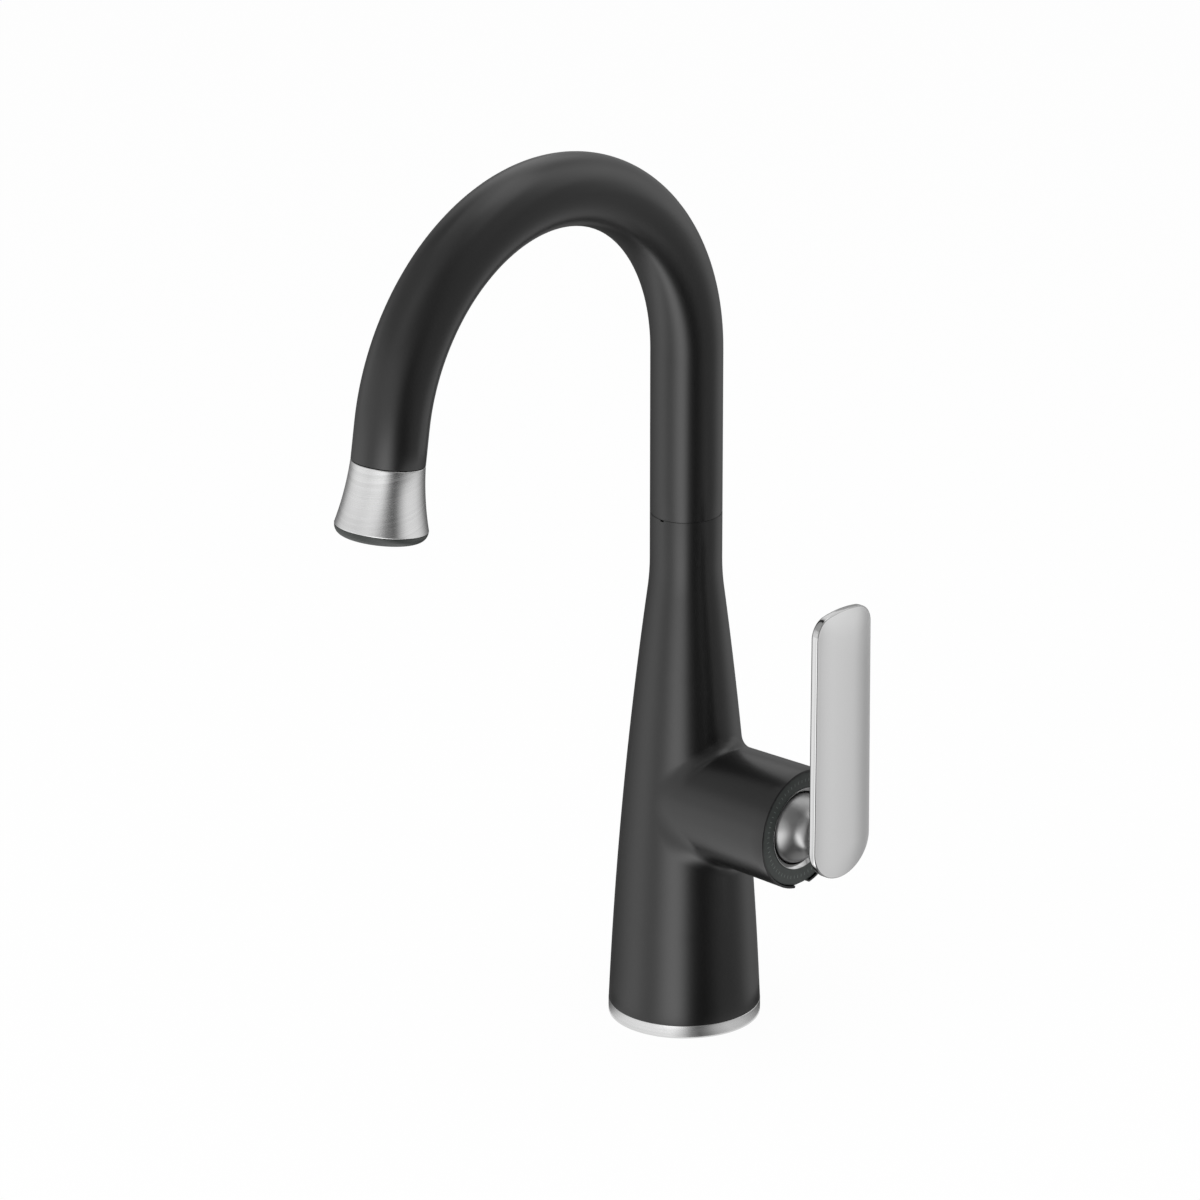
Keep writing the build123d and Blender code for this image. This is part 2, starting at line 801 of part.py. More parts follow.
with BuildPart() as lever_stem:
    with BuildSketch(hub_plane(pivot_reach - stem_arm + stem_ball_diameter / 2)):
        Rectangle(stem_size, stem_size)
    extrude(amount=stem_arm - stem_ball_diameter / 2 + stem_reach)
    with BuildSketch(hub_plane(pivot_reach - stem_arm)):
        Circle(stem_neck_diameter / 2)
    extrude(amount=stem_ball_diameter)
    with Locations((pivot_reach - stem_arm, 0, hub_height)):
        Sphere(stem_ball_diameter / 2)
    with BuildSketch(Plane.XZ):
        with Locations((pivot_reach, hub_height)):
            Circle(pivot_pin_diameter / 2 + bush_clearance)
    extrude(amount=stem_size, both=True, mode=Mode.SUBTRACT)

with BuildPart() as set_screw:
    with BuildSketch(Plane.XY.offset(hub_height - stem_size / 2 - slip_clearance)):
        with Locations((neck_reach, 0)):
            Circle(set_screw_diameter / 2)
    extrude(amount=-set_screw_length)

with BuildPart() as screw_cap:
    with BuildSketch(
        Plane.XY.offset(hub_height - stem_size / 2 - slip_clearance - set_screw_length)
    ):
        with Locations((neck_reach, 0)):
            Circle(set_screw_diameter / 2)
    extrude(amount=-screw_cap_thickness)

# Swivel: bushes in the body, spigot, seals and clip on the spout
bush_bore = spigot_diameter + 2 * bush_clearance
bush_outer = swivel_bore_diameter - 2 * bush_clearance
upper_bush = ring(
    Plane.XY.offset(seam_height - upper_bush_length), bush_outer, bush_bore, upper_bush_length
)
lower_bush = ring(
    Plane.XY.offset(swivel_floor + face_gap), bush_outer, bush_bore, lower_bush_length
)
thrust_washer = ring(
    Plane.XY.offset(seam_height), thrust_washer_diameter, bush_bore, thrust_washer_thickness
)

clip_top = swivel_floor - turn_clearance
clip_bore = spigot_diameter - 2 * clip_groove_depth
spigot_foot = clip_top - clip_thickness - spigot_tail
o_ring_radius = o_ring_section / 2
o_ring_centre = swivel_bore_diameter / 2 - bush_clearance - o_ring_radius
o_ring_low = seam_height - o_ring_drop
o_ring_heights = (o_ring_low, o_ring_low + o_ring_spacing)
with BuildPart() as spout_spigot:
    with BuildSketch(Plane.XY.offset(spigot_foot)):
        Circle(spigot_diameter / 2)
    extrude(amount=spout_base - spigot_foot)
    with BuildSketch(Plane.XY.offset(spout_base)):
        Circle(tube_bore_radius - thread_clearance)
    extrude(amount=spigot_rise)
    with BuildSketch(Plane.XY.offset(spigot_foot)):
        Circle(spigot_bore / 2)
    extrude(amount=spout_base + spigot_rise - spigot_foot, mode=Mode.SUBTRACT)
    for height in o_ring_heights:
        with BuildSketch(Plane.XY.offset(height - o_ring_radius - slip_clearance)):
            Circle(spigot_diameter / 2)
            Circle(o_ring_centre - o_ring_radius - face_gap, mode=Mode.SUBTRACT)
        extrude(amount=o_ring_section + 2 * slip_clearance, mode=Mode.SUBTRACT)
    with BuildSketch(Plane.XY.offset(clip_top - clip_thickness - face_gap)):
        Circle(spigot_diameter / 2)
        Circle(clip_bore / 2 - face_gap, mode=Mode.SUBTRACT)
    extrude(amount=clip_thickness + 2 * face_gap, mode=Mode.SUBTRACT)

with BuildPart() as spigot_o_rings:
    for height in o_ring_heights:
        with Locations((0, 0, height)):
            Torus(o_ring_centre, o_ring_radius)

with BuildPart() as retaining_clip:
    with BuildSketch(Plane.XY.offset(clip_top - clip_thickness)):
        Circle(clip_diameter / 2)
        Circle(clip_bore / 2, mode=Mode.SUBTRACT)
        with Locations((0, clip_diameter / 2)):
            Rectangle(clip_gap, clip_diameter, mode=Mode.SUBTRACT)
    extrude(amount=clip_thickness)


def along_spout(start_angle, end_angle, riser_foot, straight_end):
    """The spout's centre line between two angles of the arch, with its straight ends."""
    centre = (-arch_radius, arch_centre_height)
    with BuildLine(Plane.YZ) as route:
        CenterArc(centre, arch_radius, start_angle, end_angle - start_angle)
        if riser_foot is not None:
            Line((0, riser_foot), (0, arch_centre_height))
        if straight_end is not None:
            tip = arch_end + head_axis * straight_end
            Line((arch_end.Y, arch_end.Z), (tip.Y, tip.Z))
    return route.wire()


def tube_along(route, outer_diameter, inner_diameter):
    """A round tube swept along a route."""
    with BuildPart() as piece:
        with BuildSketch(Plane(origin=route @ 0, z_dir=route % 0)):
            Circle(outer_diameter / 2)
            Circle(inner_diameter / 2, mode=Mode.SUBTRACT)
        sweep(path=route)
    return piece


hose_split = arch_angle - hose_tail_angle
spout_tube = tube_along(
    along_spout(0, arch_angle, spout_base, spout_straight_end), tube_diameter, 2 * tube_bore_radius
)
spray_hose = tube_along(
    along_spout(0, hose_split, spout_base, None), hose_diameter, hose_bore
)
hose_tail = tube_along(
    along_spout(hose_split, arch_angle, None, hose_end), hose_diameter, hose_bore
)
dock_collar = ring(
    head_plane(dock_collar_start),
    2 * (tube_bore_radius - thread_clearance),
    dock_collar_bore,
    spout_straight_end - dock_collar_inset - dock_collar_start,
)

# Hose end fittings inside the head
hose_ferrule = ring(
    head_plane(hose_end - ferrule_length),
    hose_diameter + 2 * ferrule_wall,
    hose_diameter + 2 * thread_clearance,
    ferrule_length,
)
hose_connector = ring(head_plane(hose_end), connector_diameter, hose_bore, connector_length)
connector_seal = ring(
    head_plane(connector_end), connector_diameter, hose_bore, connector_seal_thickness
)

# Core of the spray head: neck in the dock, shoulder in the bell, water chamber at its foot
seal_foot = connector_end + connector_seal_thickness
with BuildPart() as spray_core:
    with BuildSketch(head_plane(core_neck_top)):
        Circle(core_neck_diameter / 2)
    extrude(amount=flange_bottom - core_neck_top)
    with BuildSketch(head_plane(flange_bottom)):
        Circle(core_diameter / 2)
    extrude(amount=core_length)
    with BuildSketch(head_plane(core_neck_top)):
        Circle(connector_diameter / 2 + thread_clearance)
    extrude(amount=seal_foot - core_neck_top, mode=Mode.SUBTRACT)
    with BuildSketch(head_plane(seal_foot)):
        Circle(check_valve_diameter / 2 + thread_clearance)
    extrude(amount=check_valve_length, mode=Mode.SUBTRACT)
    with BuildSketch(head_plane(seal_foot)):
        Circle(core_bore / 2)
    extrude(amount=core_foot - seal_foot, mode=Mode.SUBTRACT)
    with BuildSketch(head_plane(core_foot)):
        Circle(core_chamber_diameter / 2)
    extrude(amount=-core_chamber_depth, mode=Mode.SUBTRACT)

check_valve = ring(head_plane(seal_foot), check_valve_diameter, core_bore, check_valve_length)


def bell_line(inset):
    """The bell's flared side, from its top to its rim, as three (radius, station) points."""
    return (
        (tube_radius - inset, head_top),
        (head_waist_diameter / 2 - inset, head_top + head_length / 2),
        (head_rim_diameter / 2 - inset, head_rim),
    )


# Bell of brushed steel, open below, with a flange at its top for the core
with BuildPart() as spray_bell:
    with BuildSketch(head_profile_plane):
        with BuildLine():
            outside = ThreePointArc(*bell_line(0))
            inside = ThreePointArc(*bell_line(head_wall))
            Line(outside @ 1, inside @ 1)
            Line(outside @ 0, inside @ 0)
        make_face()
    revolve(axis=head_turning_axis)
    with BuildSketch(head_plane(head_top)):
        Circle(tube_radius)
        Circle(core_neck_diameter / 2 + thread_clearance, mode=Mode.SUBTRACT)
    extrude(amount=head_wall)

# Dark nozzle ring below the rim, held by a spigot inside the bell
nozzle_rim_radius = head_rim_diameter / 2 - head_wall / 8
nozzle_spigot_radius = bell_line(head_wall)[2][0] - ring_gap
with BuildPart() as nozzle_ring:
    with BuildSketch(head_profile_plane):
        with BuildLine():
            Polyline(
                (nozzle_ring_tip_diameter / 2, nozzle_tip),
                (nozzle_ring_bore / 2, nozzle_tip),
                (nozzle_ring_bore / 2, nozzle_top - nozzle_ring_spigot),
                (nozzle_spigot_radius - nozzle_ring_spigot / 4, nozzle_top - nozzle_ring_spigot),
                (nozzle_spigot_radius, nozzle_top),
                (nozzle_rim_radius, nozzle_top),
            )
            TangentArc(
                (nozzle_rim_radius, nozzle_top),
                (nozzle_ring_tip_diameter / 2, nozzle_tip),
                tangent=(0, 1),
            )
        make_face()
    revolve(axis=head_turning_axis)

plate_top = core_foot
plate_foot = plate_top + spray_plate_thickness
nozzle_rows = (
    (inner_nozzle_count, inner_nozzle_circle),
    (outer_nozzle_count, outer_nozzle_circle),
)
with BuildPart() as spray_plate:
    with BuildSketch(head_plane(plate_top)):
        Circle(spray_plate_diameter / 2)
        for count, circle in nozzle_rows:
            with PolarLocations(circle / 2, count):
                Circle(nozzle_diameter / 2 + thread_clearance, mode=Mode.SUBTRACT)
    extrude(amount=spray_plate_thickness)

with BuildPart() as spray_nozzles:
    with BuildSketch(head_plane(plate_foot + nozzle_stand)):
        for count, circle in nozzle_rows:
            with PolarLocations(circle / 2, count):
                Circle(nozzle_diameter / 2)
                Circle(nozzle_diameter / 4, mode=Mode.SUBTRACT)
    extrude(amount=-nozzle_length)

pieces = {
    "base_ring": base_ring,
    "base_gasket": base_gasket,
    "body_shell": body_shell,
    "mounting_shank": mounting_shank,
    "rubber_washer": rubber_washer,
    "clamp_washer": clamp_washer,
    "mounting_nut": mounting_nut,
    "clamp_screws": clamp_screws,
    "valve_block": valve_block,
    "hot_line_tube": hot_line_tube,
    "cold_line_tube": cold_line_tube,
    "outlet_line_tube": outlet_line_tube,
    "hot_inlet_fitting": hot_inlet_fitting,
    "cold_inlet_fitting": cold_inlet_fitting,
    "outlet_fitting": outlet_fitting,
    "hose_coupling": hose_coupling,
    "lower_hose": lower_hose,
    "cartridge_base": cartridge_base,
    "port_seals": port_seals,
    "cartridge_housing": cartridge_housing,
    "fixed_disc": fixed_disc,
    "retaining_nut": retaining_nut,
    "trim_sleeve": trim_sleeve,
    "trim_ring": trim_ring,
    "upper_bush": upper_bush,
    "lower_bush": lower_bush,
    "thrust_washer": thrust_washer,
    "spout_tube": spout_tube,
    "spout_spigot": spout_spigot,
    "spigot_o_rings": spigot_o_rings,
    "retaining_clip": retaining_clip,
    "dock_collar": dock_collar,
    "spray_hose": spray_hose,
    "hose_tail": hose_tail,
    "hose_ferrule": hose_ferrule,
    "hose_connector": hose_connector,
    "connector_seal": connector_seal,
    "spray_core": spray_core,
    "check_valve": check_valve,
    "spray_bell": spray_bell,
    "nozzle_ring": nozzle_ring,
    "spray_plate": spray_plate,
    "spray_nozzles": spray_nozzles,
    "cartridge_rotor": cartridge_rotor,
    "pivot_pin": pivot_pin,
    "moving_disc": moving_disc,
    "disc_driver": disc_driver,
    "lever_stem": lever_stem,
    "lever_handle": lever_handle,
    "set_screw": set_screw,
    "screw_cap": screw_cap,
}

os.makedirs("parts", exist_ok=True)
for name, piece in pieces.items():
    piece.part.label = name
    export_step(piece.part, f"parts/{name}.step")
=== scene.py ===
"""Finished look of a pull-down bar faucet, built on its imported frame.

Metres, +Z up. The origin is on the deck, on the axis of the body.
The spout reaches towards -Y and the lever stands on the +X side.
"""
from math import atan2, cos, hypot, pi, radians, sin, sqrt, tan

import bmesh
import bpy
from bpy.props import FloatProperty, FloatVectorProperty, IntProperty, PointerProperty
from mathutils import Matrix, Vector


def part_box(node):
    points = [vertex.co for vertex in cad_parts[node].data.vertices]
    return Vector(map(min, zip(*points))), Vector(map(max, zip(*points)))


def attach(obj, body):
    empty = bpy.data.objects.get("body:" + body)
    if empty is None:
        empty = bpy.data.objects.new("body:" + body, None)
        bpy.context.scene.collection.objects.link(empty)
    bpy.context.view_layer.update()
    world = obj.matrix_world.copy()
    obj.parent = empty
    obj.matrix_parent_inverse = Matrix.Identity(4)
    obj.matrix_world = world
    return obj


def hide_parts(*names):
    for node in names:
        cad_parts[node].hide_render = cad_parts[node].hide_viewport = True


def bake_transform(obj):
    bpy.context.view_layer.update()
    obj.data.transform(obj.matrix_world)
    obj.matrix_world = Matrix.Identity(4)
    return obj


bl_info = {
    "name": "Bar Faucet",
    "version": (1, 0, 0),
    "blender": (4, 5, 0),
    "location": "View3D > Sidebar > Faucet",
    "description": "Builds the finished pieces of a pull-down bar faucet on its frame",
    "category": "Object",
}

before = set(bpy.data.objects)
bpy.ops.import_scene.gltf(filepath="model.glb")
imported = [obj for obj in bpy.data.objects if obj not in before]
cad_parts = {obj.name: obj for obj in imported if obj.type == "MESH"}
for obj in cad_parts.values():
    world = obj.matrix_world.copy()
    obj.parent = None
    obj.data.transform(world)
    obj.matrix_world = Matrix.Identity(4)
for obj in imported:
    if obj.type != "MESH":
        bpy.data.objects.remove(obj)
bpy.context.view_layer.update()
MM = 0.001
# Sides of a round piece: a large one in plain view, a smaller one, and a hidden one
LARGE_ROUND, ROUND, HIDDEN_ROUND = 160, 128, 96


# Properties that a user would change


def linear(hex_colour):
    """Linear RGBA of an sRGB hex colour."""
    shares = [int(hex_colour[i : i + 2], 16) / 255 for i in (1, 3, 5)]
    return [s / 12.92 if s <= 0.04045 else ((s + 0.055) / 1.055) ** 2.4 for s in shares] + [1.0]


def top(node):
    """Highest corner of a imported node."""
    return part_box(node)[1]


def foot(node):
    """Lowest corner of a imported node."""
    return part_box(node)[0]


def length(name, description, default):
    """A length in metres."""
    return FloatProperty(name=name, description=description, default=default, unit="LENGTH")


def angle(name, description, degrees):
    """An angle, given in degrees."""
    return FloatProperty(
        name=name, description=description, default=radians(degrees), subtype="ANGLE"
    )


def count(name, description, default):
    """A whole number of like pieces."""
    return IntProperty(name=name, description=description, default=default, min=1)


def level(name, description, default):
    """A plain number, such as a light's strength."""
    return FloatProperty(name=name, description=description, default=default, min=0.0)


def colour(name, description, hex_colour):
    """A colour, given in sRGB hex."""
    return FloatVectorProperty(
        name=name, description=description, default=linear(hex_colour), subtype="COLOR", size=4
    )


class SpoutSizes(bpy.types.PropertyGroup):
    """Sizes of the gooseneck and of the spray head on its end."""

    tube_radius: length("Tube radius", "Outside of the gooseneck", top("spout_tube").x)
    tube_wall: length("Tube wall", "Wall of the gooseneck", 1.5 * MM)
    arch_radius: length("Arch radius", "Centre line of the arch", 74.7 * MM)
    arch_angle: angle("Arch angle", "Turn of the arch from the riser to the head", 170.85)
    arch_height: length("Arch height", "Centre of the arch above the deck", 249.4 * MM)
    straight_end: length("Straight end", "Straight tube past the arch", 12.6 * MM)
    hose_radius: length("Hose radius", "Outside of the woven hose", 4.6 * MM)
    hose_bore: length("Hose bore", "Inside radius of the woven hose", 3.0 * MM)
    hose_end: length("Hose end", "Station where the hose stops in the head", 5.0 * MM)
    hose_tail_angle: angle("Hose tail", "Turn of the arch that the moving hose fills", 18.0)
    dock_gap: length("Dock gap", "Shadow gap between the tube and the bell", 0.25 * MM)
    bell_length: length("Bell length", "Height of the bell along its axis", 22.45 * MM)
    bell_waist: length("Bell waist", "Radius of the bell at half its height", 13.8 * MM)
    bell_rim: length("Bell rim", "Radius of the bell at its rim", 16.1 * MM)
    bell_wall: length("Bell wall", "Sheet thickness of the bell", 1.1 * MM)
    bell_bore: length("Bell bore", "Hole in the top of the bell", 8.55 * MM)
    ring_height: length("Nozzle ring height", "Dark ring below the rim", 3.1 * MM)
    ring_tip: length("Nozzle ring tip", "Outer radius at the foot of the ring", 13.6 * MM)
    ring_bore: length("Nozzle ring bore", "Inner radius of the ring", 11.9 * MM)
    plate_radius: length("Spray plate radius", "Plate that holds the nozzles", 11.7 * MM)
    nozzle_radius: length("Nozzle radius", "Outside of one rubber nozzle", 0.7 * MM)
    inner_nozzles: count("Inner nozzles", "Nozzles on the inner circle", 6)
    inner_circle: length("Inner circle", "Radius of the inner circle", 4.0 * MM)
    outer_nozzles: count("Outer nozzles", "Nozzles on the outer circle", 12)
    outer_circle: length("Outer circle", "Radius of the outer circle", 8.0 * MM)


class BodySizes(bpy.types.PropertyGroup):
    """Sizes of the cast body, its boss and what closes the boss."""

    seam_height: length("Seam height", "Top of the casting", top("body_shell").z)
    base_height: length("Base height", "Foot of the casting", foot("body_shell").z)
    base_radius: length("Base radius", "Casting at its foot", 27.0 * MM)
    waist_radius: length("Waist radius", "Casting at the waist", 21.95 * MM)
    waist_height: length("Waist height", "Height of the waist", 82.9 * MM)
    shoulder_radius: length("Shoulder radius", "Casting below its neck", 13.45 * MM)
    neck_length: length("Neck length", "From the shoulder to the seam", 28.5 * MM)
    wall: length("Wall", "Wall of the casting", 3.2 * MM)
    floor: length("Floor", "Thick floor that the shank screws into", 10.0 * MM)
    swivel_bore: length("Swivel bore", "Radius of the bore for the bushes", 10.2 * MM)
    swivel_depth: length("Swivel depth", "Depth of that bore", 39.5 * MM)
    ring_radius: length("Base ring radius", "Steel ring on the deck", top("base_ring").x)
    ring_bevel: length("Base ring bevel", "Bevel on its top edge", 0.2 * MM)
    shank_radius: length("Shank radius", "Threaded shank", top("mounting_shank").x)
    shank_wall: length("Shank wall", "Wall of the shank", 2.0 * MM)
    thread_pitch: length("Thread pitch", "Pitch of the shank's thread", 1.5 * MM)
    thread_depth: length("Thread depth", "Depth of the shank's thread", 0.85 * MM)
    hub_height: length("Hub height", "Axis of the boss", sum(z.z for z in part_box("trim_ring")) / 2)
    hub_reach: length("Hub reach", "End of the boss", top("body_shell").x)
    hub_radius: length("Hub radius", "Boss at its end", 21.7 * MM)
    hub_root_step: length("Hub root step", "Boss root inside the waist's radius", 1.0 * MM)
    hub_blend: length("Hub blend", "Radius of the blend over and under the boss", 5.0 * MM)
    side_blend: length("Side blend", "Radius of the blend beside the boss", 25.0 * MM)
    lip_wall: length("Lip wall", "Lip round the trim ring", 0.8 * MM)
    trim_recess: length("Trim recess", "Trim ring below the lip", 0.6 * MM)
    trim_thickness: length("Trim thickness", "Thickness of the trim ring", 2.9 * MM)
    trim_radius: length("Trim radius", "Outside of the trim ring", 20.6 * MM)
    trim_bore: length("Trim bore", "Inside of the trim ring", 14.85 * MM)
    trim_ticks: count("Trim ticks", "Plain ticks round the trim ring", 60)
    sleeve_bore: length("Sleeve bore", "Inside of the polished sleeve", 14.3 * MM)
    sleeve_lip: length("Sleeve lip", "Outside of the sleeve's lip", 14.8 * MM)
    sleeve_flange: length("Sleeve flange", "Flange behind the trim ring", 17.5 * MM)
    cartridge_bore: length("Cartridge bore", "Radius of the bore in the boss", 17.6 * MM)
    drain_width: length("Drain notch", "Width of the notch under the lip", 7.6 * MM)
    drain_length: length("Drain notch length", "Depth of the notch in the lip", 2.4 * MM)
    mark_width: length("Seam mark width", "Small notch at the front of the seam", 1.5 * MM)
    mark_height: length("Seam mark height", "Height of that notch", 0.6 * MM)
    mark_depth: length("Seam mark depth", "Depth of that notch", 1.0 * MM)


class DeckSizes(bpy.types.PropertyGroup):
    """Sizes of the clamp and of the fittings under the deck."""

    shank_gap: length("Shank gap", "Room round the shank in the rings on it", 0.3 * MM)
    nut_flats: length("Nut flats", "Clamp nut across its flats", 52.0 * MM)
    screws: count("Screws", "Clamp screws in the nut", 3)
    screw_circle: length("Screw circle", "Radius of the circle of screws", 21.5 * MM)
    screw_radius: length("Screw radius", "Outside of a clamp screw", 2.5 * MM)
    screw_head: length("Screw head", "Radius of a clamp screw's head", 4.2 * MM)
    head_height: length("Head height", "Height of a clamp screw's head", 4.0 * MM)
    fitting_flats: length("Fitting flats", "Fittings across their flats", 11.0 * MM)
    line_socket: length("Line socket", "Radius of the socket for a water line", 3.2 * MM)
    hose_socket: length("Hose socket", "Radius of the socket for the hose", 4.6 * MM)
    socket_depth: length("Socket depth", "Depth of those sockets", 6.0 * MM)
    waterway: length("Waterway", "Radius of the bore through a fitting", 2.3 * MM)
    tail_radius: length("Tail radius", "Thread in the foot of a fitting", 4.5 * MM)
    tail_depth: length("Tail depth", "Depth of that thread", 7.0 * MM)


class LeverSizes(bpy.types.PropertyGroup):
    """Sizes of the lever: ball dome, neck and blade."""

    pivot_reach: length("Pivot reach", "Centre of the dome along the hub", 48.0 * MM)
    dome_radius: length("Dome radius", "Outside of the ball dome", 13.9 * MM)
    dome_wall: length("Dome wall", "Wall of the dome", 1.6 * MM)
    dome_angle: angle("Dome angle", "Where the dome runs into the neck", 42.0)
    neck_radius: length("Neck radius", "Thinnest part of the neck", 7.4 * MM)
    neck_run: length("Neck run", "From the dome to the thinnest part", 4.17 * MM)
    flare_run: length("Flare run", "From the thinnest part to the blade", 7.1 * MM)
    flare_radius: length("Flare radius", "Neck where it meets the blade", 12.3 * MM)
    boss_radius: length("Boss radius", "Boss for the stem inside the dome", 6.0 * MM)
    boss_reach: length("Boss reach", "Start of that boss past the pivot", 6.5 * MM)
    blade_edge: length("Blade edge", "Thickness of the blade at its edge", 3.4 * MM)
    blade_crown: length("Blade crown", "Rise of the blade's face", 0.9 * MM)
    blade_half: length("Blade half width", "Half the blade's width at the hub", 14.7 * MM)
    tip_half: length("Tip half width", "Half the blade's width at its tip", 14.2 * MM)
    blade_drop: length("Blade drop", "Blade below the hub axis", 13.0 * MM)
    blade_rise: length("Blade rise", "Blade above the hub axis", 86.8 * MM)
    corner: length("Corner", "Radius of the tip's corners", 7.5 * MM)
    tip_rise: length("Tip rise", "Rise of the tip's arc above its ends", 2.1 * MM)
    crown_run: length("Crown run", "Width of the face's rounded margin", 10.0 * MM)
    front_ease: length("Front ease", "Rounding along the front of the blade's edge", 0.4 * MM)
    back_ease: length("Back ease", "Rounding along the back of the blade's edge", 1.6 * MM)


class FaucetColours(bpy.types.PropertyGroup):
    """Colours of the finishes."""

    black: colour("Satin black", "Coat on the body and the spout", "#101010")
    steel: colour("Brushed steel", "Bell and base ring", "#d4d4d4")
    chrome: colour("Polished chrome", "Sleeve and blade edges", "#c6c6c6")
    # The dome's grey is painted shade: chrome made darker to stand in for the dim surroundings it
    # reflects
    dome: colour("Buffed chrome", "Dome and neck of the lever", "#a0a0a0")
    satin: colour("Satin chrome", "Faces of the blade", "#e6e6e6")
    trim: colour("Trim plastic", "Trim ring in the boss", "#3c413f")
    nozzle: colour("Nozzle plastic", "Nozzle ring and spray plate", "#2b2f2d")
    tick: colour("Tick print", "Ticks on the trim ring", "#6d7371")
    rubber: colour("Black rubber", "Gasket, washer and seals", "#1b1b1b")
    silicone: colour("Grey silicone", "Spray nozzles", "#8a8d8d")
    brass: colour("Brass", "Shank, fittings and valve block", "#d8b56a")
    copper: colour("Copper", "Water lines", "#d99a78")
    stainless: colour("Stainless", "Screws, washer and spigot", "#c9c9c9")
    acetal: colour("White acetal", "Cartridge, bushes and collar", "#e6e6e2")
    ceramic: colour("Ceramic", "Valve discs", "#f0eee6")
    sleeve: colour("Hose sleeve", "Woven nylon on the hose", "#26272a")


class StageSettings(bpy.types.PropertyGroup):
    """Camera and light of the studio."""

    azimuth: angle("Azimuth", "Camera round the object, from -Y towards +X", 42.134)
    elevation: angle("Elevation", "Camera above the horizon", 21.132)
    distance: length("Distance", "Camera to the point it looks at", 3.0)
    lens: level("Lens", "Focal length in millimetres", 256.73)
    aim_right: length("Aim right", "Aim across the view", -30.092 * MM)
    aim_height: length("Aim height", "Aim above the deck", 156.106 * MM)
    key: level("Key light", "Power of the softbox at camera left", 6.0)
    overhead: level("Overhead light", "Power of the softbox above", 9.0)
    ambient: level("Ambient", "Light of the white room on matt surfaces", 0.55)


# Materials


def add(tree, kind, inputs=None, **settings):
    """One node with its settings; an input given as a node or a socket is linked, else set."""
    made = tree.nodes.new(kind)
    for key, value in settings.items():
        setattr(made, key, value)
    for key, value in (inputs or {}).items():
        if isinstance(value, bpy.types.Node):
            value = value.outputs[0]
        if isinstance(value, bpy.types.NodeSocket):
            tree.links.new(value, made.inputs[key])
        else:
            made.inputs[key].default_value = value
    return made


def blank_material(name):
    """A material with an empty node tree."""
    material = bpy.data.materials.new(name)
    material.use_nodes = True
    material.node_tree.nodes.clear()
    return material


def shade(paint, amount):
    """A colour made darker or lighter by a share."""
    return [min(1.0, c * (1 + amount)) for c in paint[:3]] + [1.0]


def grained(
    name, paint, roughness, grain, relief, metallic=0.0, tone=0.08, spread=0.04, turn=0.0, **sockets
):
    """A surface whose grain, given in metres along x, y and z, sets tone, gloss and relief."""
    material = blank_material(name)
    tree = material.node_tree
    place = add(tree, "ShaderNodeTexCoord").outputs["Object"]
    mapping = {"Vector": place, "Rotation": (turn, 0, 0), "Scale": grain}
    scaled = add(tree, "ShaderNodeMapping", mapping, vector_type="TEXTURE")
    noise = add(tree, "ShaderNodeTexNoise", {"Vector": scaled, "Scale": 1.0, "Detail": 3.0})
    ends = {0: noise, 6: shade(paint, -tone), 7: shade(paint, tone)}
    tones = add(tree, "ShaderNodeMix", ends, data_type="RGBA").outputs[2]
    limits = {"Value": noise, "To Min": roughness - spread, "To Max": roughness + spread}
    gloss = add(tree, "ShaderNodeMapRange", limits)
    bump = add(tree, "ShaderNodeBump", {"Height": noise, "Distance": relief, "Strength": 1.0})
    sockets |= {"Base Color": tones, "Metallic": metallic, "Roughness": gloss, "Normal": bump}
    surface = add(tree, "ShaderNodeBsdfPrincipled", sockets)
    add(tree, "ShaderNodeOutputMaterial", {"Surface": surface})
    return material


def even(size):
    """The same grain along x, y and z."""
    return (size, size, size)


def woven_sleeve_painted_shade(paint, pitch):
    """Nylon yarn braided round the hose: two sets of slanted ribs, with painted shade between the
    ribs and a painted highlight on their tops.
    """
    # dark is the painted shade in the gaps between the ribs, light is the painted highlight on the
    # rib tops
    dark, light, relief, rib_to_a_pitch = -0.6, 0.4, 0.3 * MM, pi / 10
    material = blank_material("nylon_yarn_braided_painted_shade")
    tree = material.node_tree
    place = add(tree, "ShaderNodeTexCoord").outputs["Object"]
    ribs = []
    for slant in (pi / 4, -pi / 4):
        mapping = {"Vector": place, "Rotation": (slant, 0, 0), "Scale": even(pitch)}
        slanted = add(tree, "ShaderNodeMapping", mapping, vector_type="TEXTURE")
        bands = {"Vector": slanted, "Scale": rib_to_a_pitch, "Distortion": 0.0}
        wave = add(tree, "ShaderNodeTexWave", bands, bands_direction="Z")
        ribs.append(wave.outputs["Fac"])
    height = add(tree, "ShaderNodeMath", {0: ribs[0], 1: ribs[1]}, operation="MAXIMUM")
    # Painted shade and highlight: the ribs' height darkens the low gaps and lightens the rib tops
    ends = {0: height, 6: shade(paint, dark), 7: shade(paint, light)}
    tones = add(tree, "ShaderNodeMix", ends, data_type="RGBA").outputs[2]
    bump = add(tree, "ShaderNodeBump", {"Height": height, "Distance": relief, "Strength": 1.0})
    sockets = {"Base Color": tones, "Roughness": 0.6, "Sheen Weight": 0.15, "Normal": bump}
    surface = add(tree, "ShaderNodeBsdfPrincipled", sockets)
    add(tree, "ShaderNodeOutputMaterial", {"Surface": surface})
    return material


